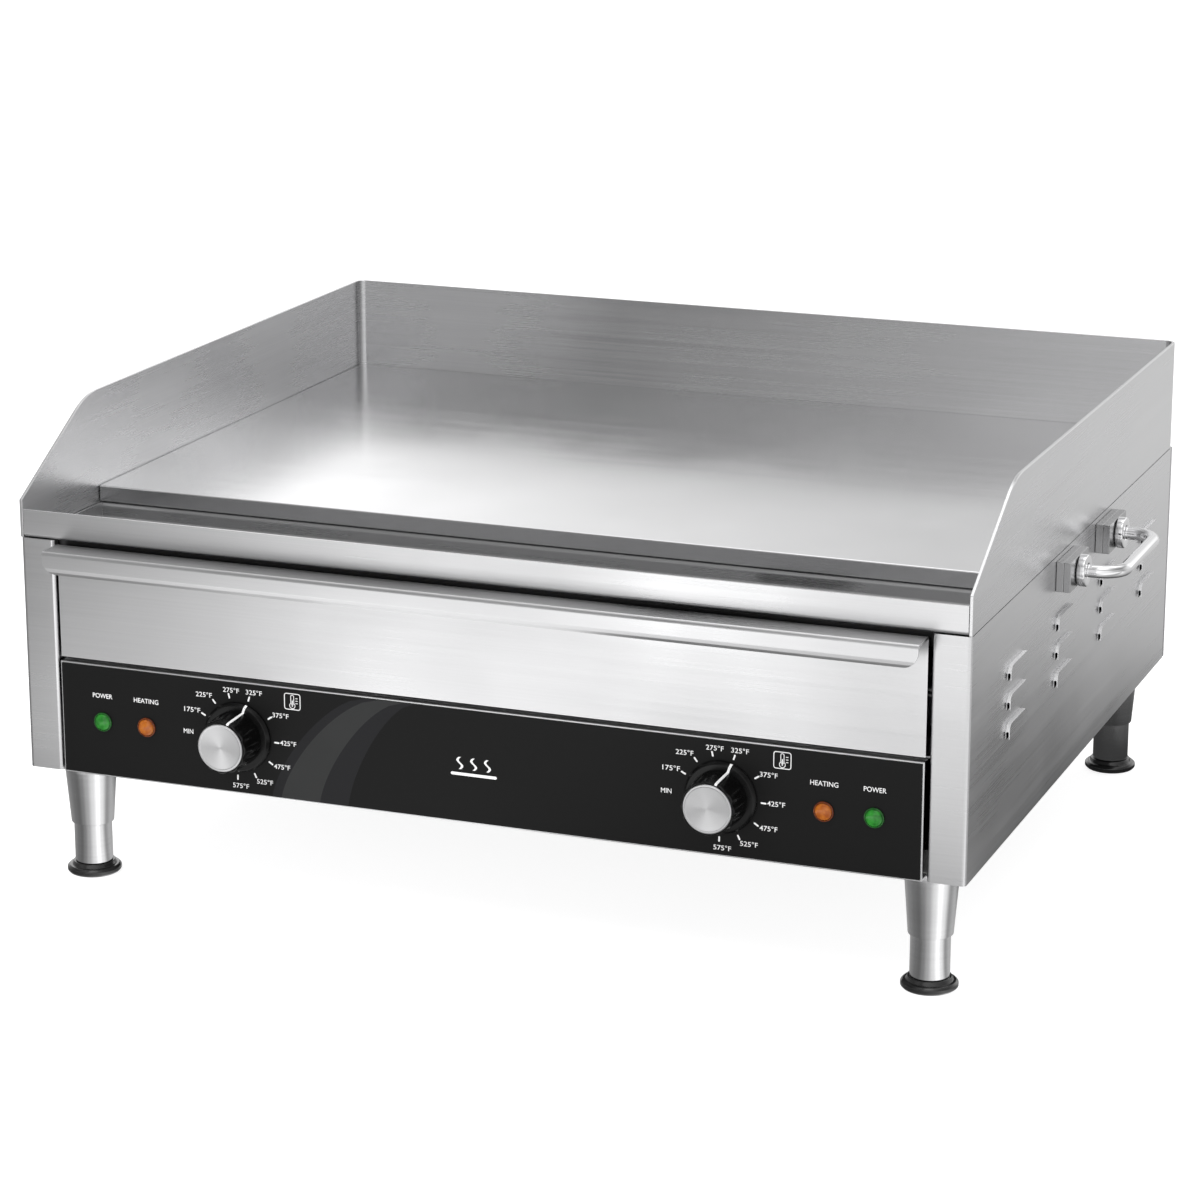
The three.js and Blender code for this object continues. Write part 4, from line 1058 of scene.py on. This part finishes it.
def build_heat_symbol():
    """Three rising waves over a bar, a plain sign for a heated surface."""
    bar_z, bar_length, stroke = 31.2, 30.0, 1.8
    wave_foot, wave_height, wave_swing, wave_half = 34.2, 7.6, 1.5, 0.75
    shapes = [flat_print(oblong(0.0, bar_z, bar_length, stroke, 6))]
    for x in (-9.0, 0.0, 9.0):
        middle = []
        for step in range(17):
            t = step / 16
            middle.append((x + wave_swing * math.sin(2 * math.pi * t), wave_foot + wave_height * t))
        left = [(a - wave_half, b) for a, b in middle]
        right = [(a + wave_half, b) for a, b in reversed(middle)]
        shapes.append(flat_print(left + right))
    build("heat_symbol", joined(*shapes), "print_white", slot="overlay_black")


def build_swoosh():
    """Three plain curved bands that rise from the panel's lower edge to its upper edge."""
    bottom, top = span("panel_overlay")[0].z, span("panel_overlay")[1].z
    bands = (
        ("swoosh_left", "swoosh_dark", (-134.5, -128.2), (-70.5, -61.5)),
        ("swoosh_middle", "swoosh_light", (-128.2, -102.3), (-61.5, -45.5)),
        ("swoosh_right", "swoosh_dark", (-102.3, -83.2), (-45.5, -38.0)),
    )
    for name, look, low, high in bands:
        sides = []
        for start, end in zip(low, high):
            edge = []
            for step in range(25):
                t = step / 24
                bend = 0.5 * (1 - math.sqrt(1 - t * t)) + 0.5 * t**1.3
                edge.append((start + (end - start) * bend, bottom + (top - bottom) * t))
            sides.append(edge)
        outline = sides[0] + sides[1][::-1]
        shape = extruded(outline, OVERLAY_FACE - PRINT / 2, OVERLAY_FACE + SUNK, "Y")
        build(name, shape, look, slot="overlay_black")


# ---------------------------------------------------------------- side handles


def build_handles():
    for name, side in SIDES:
        low, high = span(f"handle_bar_{name}")
        inner = min(abs(low.x), abs(high.x))
        grip = max(abs(low.x), abs(high.x)) - HANDLE_RADIUS
        z = (low.z + high.z) / 2
        front, rear = low.y + HANDLE_RADIUS, high.y - HANDLE_RADIUS
        corners = [(inner, front, z), (grip, front, z), (grip, rear, z), (inner, rear, z)]
        bar = bent_tube(corners, HANDLE_RADIUS, HANDLE_BEND)
        build(f"grip_{name}", mirrored(bar, side), "chrome", replaces=[f"handle_bar_{name}"])
        for end in ("front", "rear"):
            build_handle_mount(end, name, side)


def build_handle_mount(end, name, side):
    """Two slabs against the wall, the inner one let into it a little, and a collar round the bar."""
    bracket, collar = f"handle_bracket_{end}_{name}", f"handle_collar_{end}_{name}"
    low, high = span(bracket)
    near, far = sorted((abs(low.x), abs(high.x)))
    middle = (near + far) / 2
    for part, start, stop in (("inner", near - 0.2, middle), ("outer", middle, far)):
        shape = mirrored(box_shape((start, low.y, low.z), (stop, high.y, high.z)), side)
        names = {"slot": "cabinet_steel", "replaces": [bracket] if part == "inner" else ()}
        build(f"grip_block_{part}_{end}_{name}", shape, "bracket_steel", edge=0.35, **names)
    low, high = span(collar)
    near, far = sorted((abs(low.x), abs(high.x)))
    centre = (0.0, (low.y + high.y) / 2, (low.z + high.z) / 2)
    bore, radius = HANDLE_RADIUS + 0.3, (high.z - low.z) / 2
    ring = rounded([(bore, near), (radius, near), (radius, far), (bore, far)], 0.8, closed=True)
    ring = mirrored(turned(ring, centre, "X", 64), side)
    build(f"grip_collar_{end}_{name}", ring, "chrome", replaces=[collar])


# ---------------------------------------------------------------- levelling legs


def build_leg(row, name):
    """A tapered shell that hangs from the base, an insert that screws out of it, and a rubber foot."""
    shell_node, insert_node, foot_node = (f"leg_{part}_{row}_{name}" for part in ("shell", "insert", "foot"))
    low, high = span(shell_node)
    insert_low, insert_high = span(insert_node)
    foot_low, foot_high = span(foot_node)
    centre = ((low.x + high.x) / 2, (low.y + high.y) / 2, 0.0)
    r = (insert_high.x - insert_low.x) / 2
    bore, top = r + LEG_BORE_GAP, (high.x - low.x) / 2
    shell = [(0, -7.5), (bore, -7.5, 0), (bore, low.z, 0.25), (LEG_MOUTH, low.z, 0.5), (top - 0.3, -6.0, 4.0)]
    shell += [(top, -0.3, 0.5), (STUD_RADIUS, -0.3, 0), (STUD_RADIUS, 1.8, 0), (NUT_RADIUS, 1.8, 0)]
    shell += [(NUT_RADIUS, 7.8, 0.4), (STUD_RADIUS, 7.8, 0), (STUD_RADIUS, high.z, 0.6), (0, high.z)]
    shell = turned(rounded(shell, 0.5), centre, "Z", 96)
    build(f"leg_tube_{row}_{name}", shell, "leg_steel", replaces=[shell_node])
    body = f"{row}_{name}_foot"
    insert = [(0, insert_low.z), (r, insert_low.z, 0.4), (r, insert_high.z, 0.4), (0, insert_high.z)]
    insert = turned(rounded(insert, 0.4), centre, "Z", 64)
    build(f"leg_stem_{row}_{name}", insert, "leg_steel", body=body, replaces=[insert_node])
    base, brim = foot_low.z, (foot_high.x - foot_low.x) / 2
    foot = [(0, base), (brim - 1.5, base, 1.0), (brim, base + 1.5, 1.0), (brim, base + 3.6, 1.2)]
    foot += [(brim - 1.4, base + 5.0, 1.0), (r + 2.0, base + 5.0, 0.6), (r + 1.2, foot_high.z, 0.5)]
    foot = turned(rounded([*foot, (0, foot_high.z)], 0.6), centre, "Z", 96)
    build(f"foot_{row}_{name}", foot, "foot_black", body=body, replaces=[foot_node])


# ---------------------------------------------------------------- CAD nodes that stay

KEPT = (
    ("plate_steel", 0.8, ("griddle_plate",)),
    ("front_steel", 0.3, ("back_panel", "drawer_tray")),
    ("front_steel", 0.35, ("control_panel",)),
    ("inner_steel", 0.3, ("base_pan", "drawer_shelf", "heat_shield")),
    ("overlay_black", 0.1, ("panel_overlay",)),
    ("ceramic_fibre", 0.8, ("insulation_pad",)),
    ("phenolic", 0.4, ("terminal_block",)),
    ("cable_sleeve", 0.0, ("wiring_loom", "element_leads")),
    ("gland_black", 0.3, ("cord_gland",)),
)
KEPT_PAIRS = (
    ("inner_steel", 0.3, "drawer_runner"),
    ("phenolic", 0.4, "thermostat"),
    ("inner_steel", 0.2, "thermostat_shaft"),
    ("copper", 0.0, "temperature_sensor"),
    ("element_sheath", 0.0, "heating_element"),
    ("inner_steel", 0.2, "element_clamp"),
)


def dress_kept_nodes():
    pairs = ((look, edge, [f"{node}_{name}" for name, _side in SIDES]) for look, edge, node in KEPT_PAIRS)
    for look, edge, nodes in (*KEPT, *pairs):
        for node in nodes:
            dress(NODES[node], look, edge)


def dress(obj, look, edge):
    for material_slot in obj.material_slots:
        material_slot.material = LOOKS[look]
    weld = obj.modifiers.new("weld", "WELD")
    weld.merge_threshold = 0.000002
    if edge:
        soften(obj, edge, 2, 40.0)


# ---------------------------------------------------------------- stage, light and camera


def level_mesh(name, reach, z, material):
    mesh = bpy.data.meshes.new(name)
    corners = [(-reach, -reach, z), (reach, -reach, z), (reach, reach, z), (-reach, reach, z)]
    mesh.from_pydata(corners, [], [(0, 1, 2, 3)])
    mesh.materials.append(material)
    obj = bpy.data.objects.new(name, mesh)
    bpy.context.scene.collection.objects.link(obj)
    return obj


def build_floor():
    """A pale floor that glows a little, so that the shadow on it stays faint."""
    look = Finish("pale_floor", Roughness=0.8, Emission_Strength=0.86)
    look.shader.inputs["Emission Color"].default_value = (1.0, 1.0, 1.0, 1.0)
    cloud = look.noise(2.0, 2.0)
    look.drive("Base Color", look.mix(cloud, grey(0.42), grey(0.43)))
    floor = level_mesh("floor", STAGE_REACH, 0.0, look.material)
    floor.visible_glossy = False


def build_reflected_floor():
    """What polished steel sees of the floor: dark close to the griddle and brightest left of its middle."""
    material = bpy.data.materials.new("reflected_floor")
    material.use_nodes = True
    nodes = Nodes(material.node_tree)
    material.node_tree.nodes.remove(material.node_tree.nodes["Principled BSDF"])
    x, y, _z = nodes.split()
    leg = (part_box("leg_shell_front_right")[0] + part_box("leg_shell_front_right")[1]) / 2

    def beyond(value, limit):
        return nodes.math("MAXIMUM", nodes.minus(nodes.math("ABSOLUTE", value), limit), 0.0)

    aside, ahead = beyond(x, 0.305), beyond(y, 0.25)
    squares = nodes.plus(nodes.times(aside, aside), nodes.times(ahead, ahead))
    distance = nodes.math("SQRT", squares)
    near = nodes.ramp(distance, FLOOR_BY_DISTANCE)
    front = nodes.ramp(nodes.remap(x, 0.0, 1.0, -1.0, 1.0), FRONT_FLOOR_ACROSS)
    behind = nodes.remap(y, 0.0, 1.0, -0.1, 0.2)
    level = nodes.times(near, nodes.blend(behind, front, BACK_FLOOR_LEVEL))
    leg_x = nodes.times(nodes.math("SIGN", x), leg.x)
    leg_turn = nodes.math("ARCTAN2", nodes.minus(x, leg_x), nodes.minus(leg.y, y))
    around = nodes.ramp(nodes.remap(leg_turn, 0.0, 1.0, -math.pi, math.pi), LEG_SURROUND)
    from_front = nodes.remap(y, 0.0, 1.0, leg.y - 0.24, leg.y - 0.14)
    by_leg = nodes.times(from_front, nodes.remap(y, 1.0, 0.0, leg.y + 0.1, leg.y + 0.2))
    light = nodes.node("Emission", {"Strength": nodes.blend(by_leg, level, around)})
    output = material.node_tree.nodes["Material Output"]
    material.node_tree.links.new(light.outputs[0], output.inputs[0])
    card = level_mesh("reflected_floor", STAGE_REACH, -0.001, material)
    card.visible_camera = False
    card.visible_diffuse = False
    card.visible_shadow = False
    card.visible_transmission = False


def direction(azimuth, elevation):
    """A unit vector. Azimuth 0 points to the front, away from the griddle, and grows towards +X."""
    a, e = math.radians(azimuth), math.radians(elevation)
    return Vector((math.sin(a) * math.cos(e), -math.cos(a) * math.cos(e), math.sin(e)))


def build_world():
    """The studio: soft light whose level changes slowly with direction."""
    world = bpy.data.worlds.new("studio")
    bpy.context.scene.world = world
    world.use_nodes = True
    nodes = Nodes(world.node_tree)
    x, y, z = nodes.split("Generated")
    azimuth = nodes.math("ARCTAN2", x, nodes.times(y, -1.0))
    turn = nodes.remap(azimuth, 0.0, 1.0, -math.pi, math.pi)
    elevation = nodes.remap(nodes.math("ARCSINE", z), 0.0, 1.0, 0.0, math.pi / 2)
    level = nodes.times(nodes.ramp(turn, HORIZON), nodes.ramp(elevation, ABOVE))
    background = world.node_tree.nodes["Background"]
    background.inputs["Color"].default_value = (1.0, 1.0, 1.0, 1.0)
    world.node_tree.links.new(level, background.inputs["Strength"])


def build_light(name, azimuth, elevation, distance, size, power):
    light = bpy.data.lights.new(name, "AREA")
    light.shape = "RECTANGLE"
    light.size, light.size_y = size
    light.energy = power
    lamp = bpy.data.objects.new(name, light)
    centre = Vector((0.0, 0.0, 0.15))
    where = centre + direction(azimuth, elevation) * distance
    lamp.location = where
    lamp.rotation_euler = (where - centre).to_track_quat("Z", "Y").to_euler()
    lamp.visible_glossy = False
    bpy.context.scene.collection.objects.link(lamp)


def build_camera():
    """A camera at the product view's angle, aimed a little aside of the griddle's middle."""
    back = direction(CAMERA_AZIMUTH, CAMERA_ELEVATION)
    right = direction(CAMERA_AZIMUTH + 90.0, 0.0)
    up = back.cross(right)
    target = Vector((0.0, (CAD_BOX[0].y + CAD_BOX[1].y) / 2, TARGET_HEIGHT))
    camera = bpy.data.objects.new("camera", bpy.data.cameras.new("camera"))
    camera.data.lens = CAMERA_LENS
    camera.data.sensor_width = 36.0
    turn = Matrix((right, up, back)).transposed().to_4x4()
    place = target + back * CAMERA_DISTANCE - right * CAMERA_LEFT - up * CAMERA_BELOW
    camera.matrix_world = Matrix.Translation(place) @ turn
    bpy.context.scene.collection.objects.link(camera)
    bpy.context.scene.camera = camera
    bpy.context.scene.view_settings.view_transform = "Standard"


# ---------------------------------------------------------------- assembly

build_splash_guard()
build_grease_trough()
build_side_panels()
build_drawer_front()
for side_name, side_sign in SIDES:
    build_knob(side_name, side_sign)
    build_lamp(f"power_lamp_{side_name}", "lens_green", "lens_green")
    build_lamp(f"heating_lamp_{side_name}", "lens_amber", "lens_amber")
    build_dial_print(side_name, side_sign)
    for leg_row in ("front", "back"):
        build_leg(leg_row, side_name)
build_lamp_words()
build_heat_symbol()
build_swoosh()
build_handles()
dress_kept_nodes()

build_floor()
build_reflected_floor()
build_world()
build_light("key", -40.0, 55.0, 2.6, (1.6, 1.6), 40.0)
build_camera()
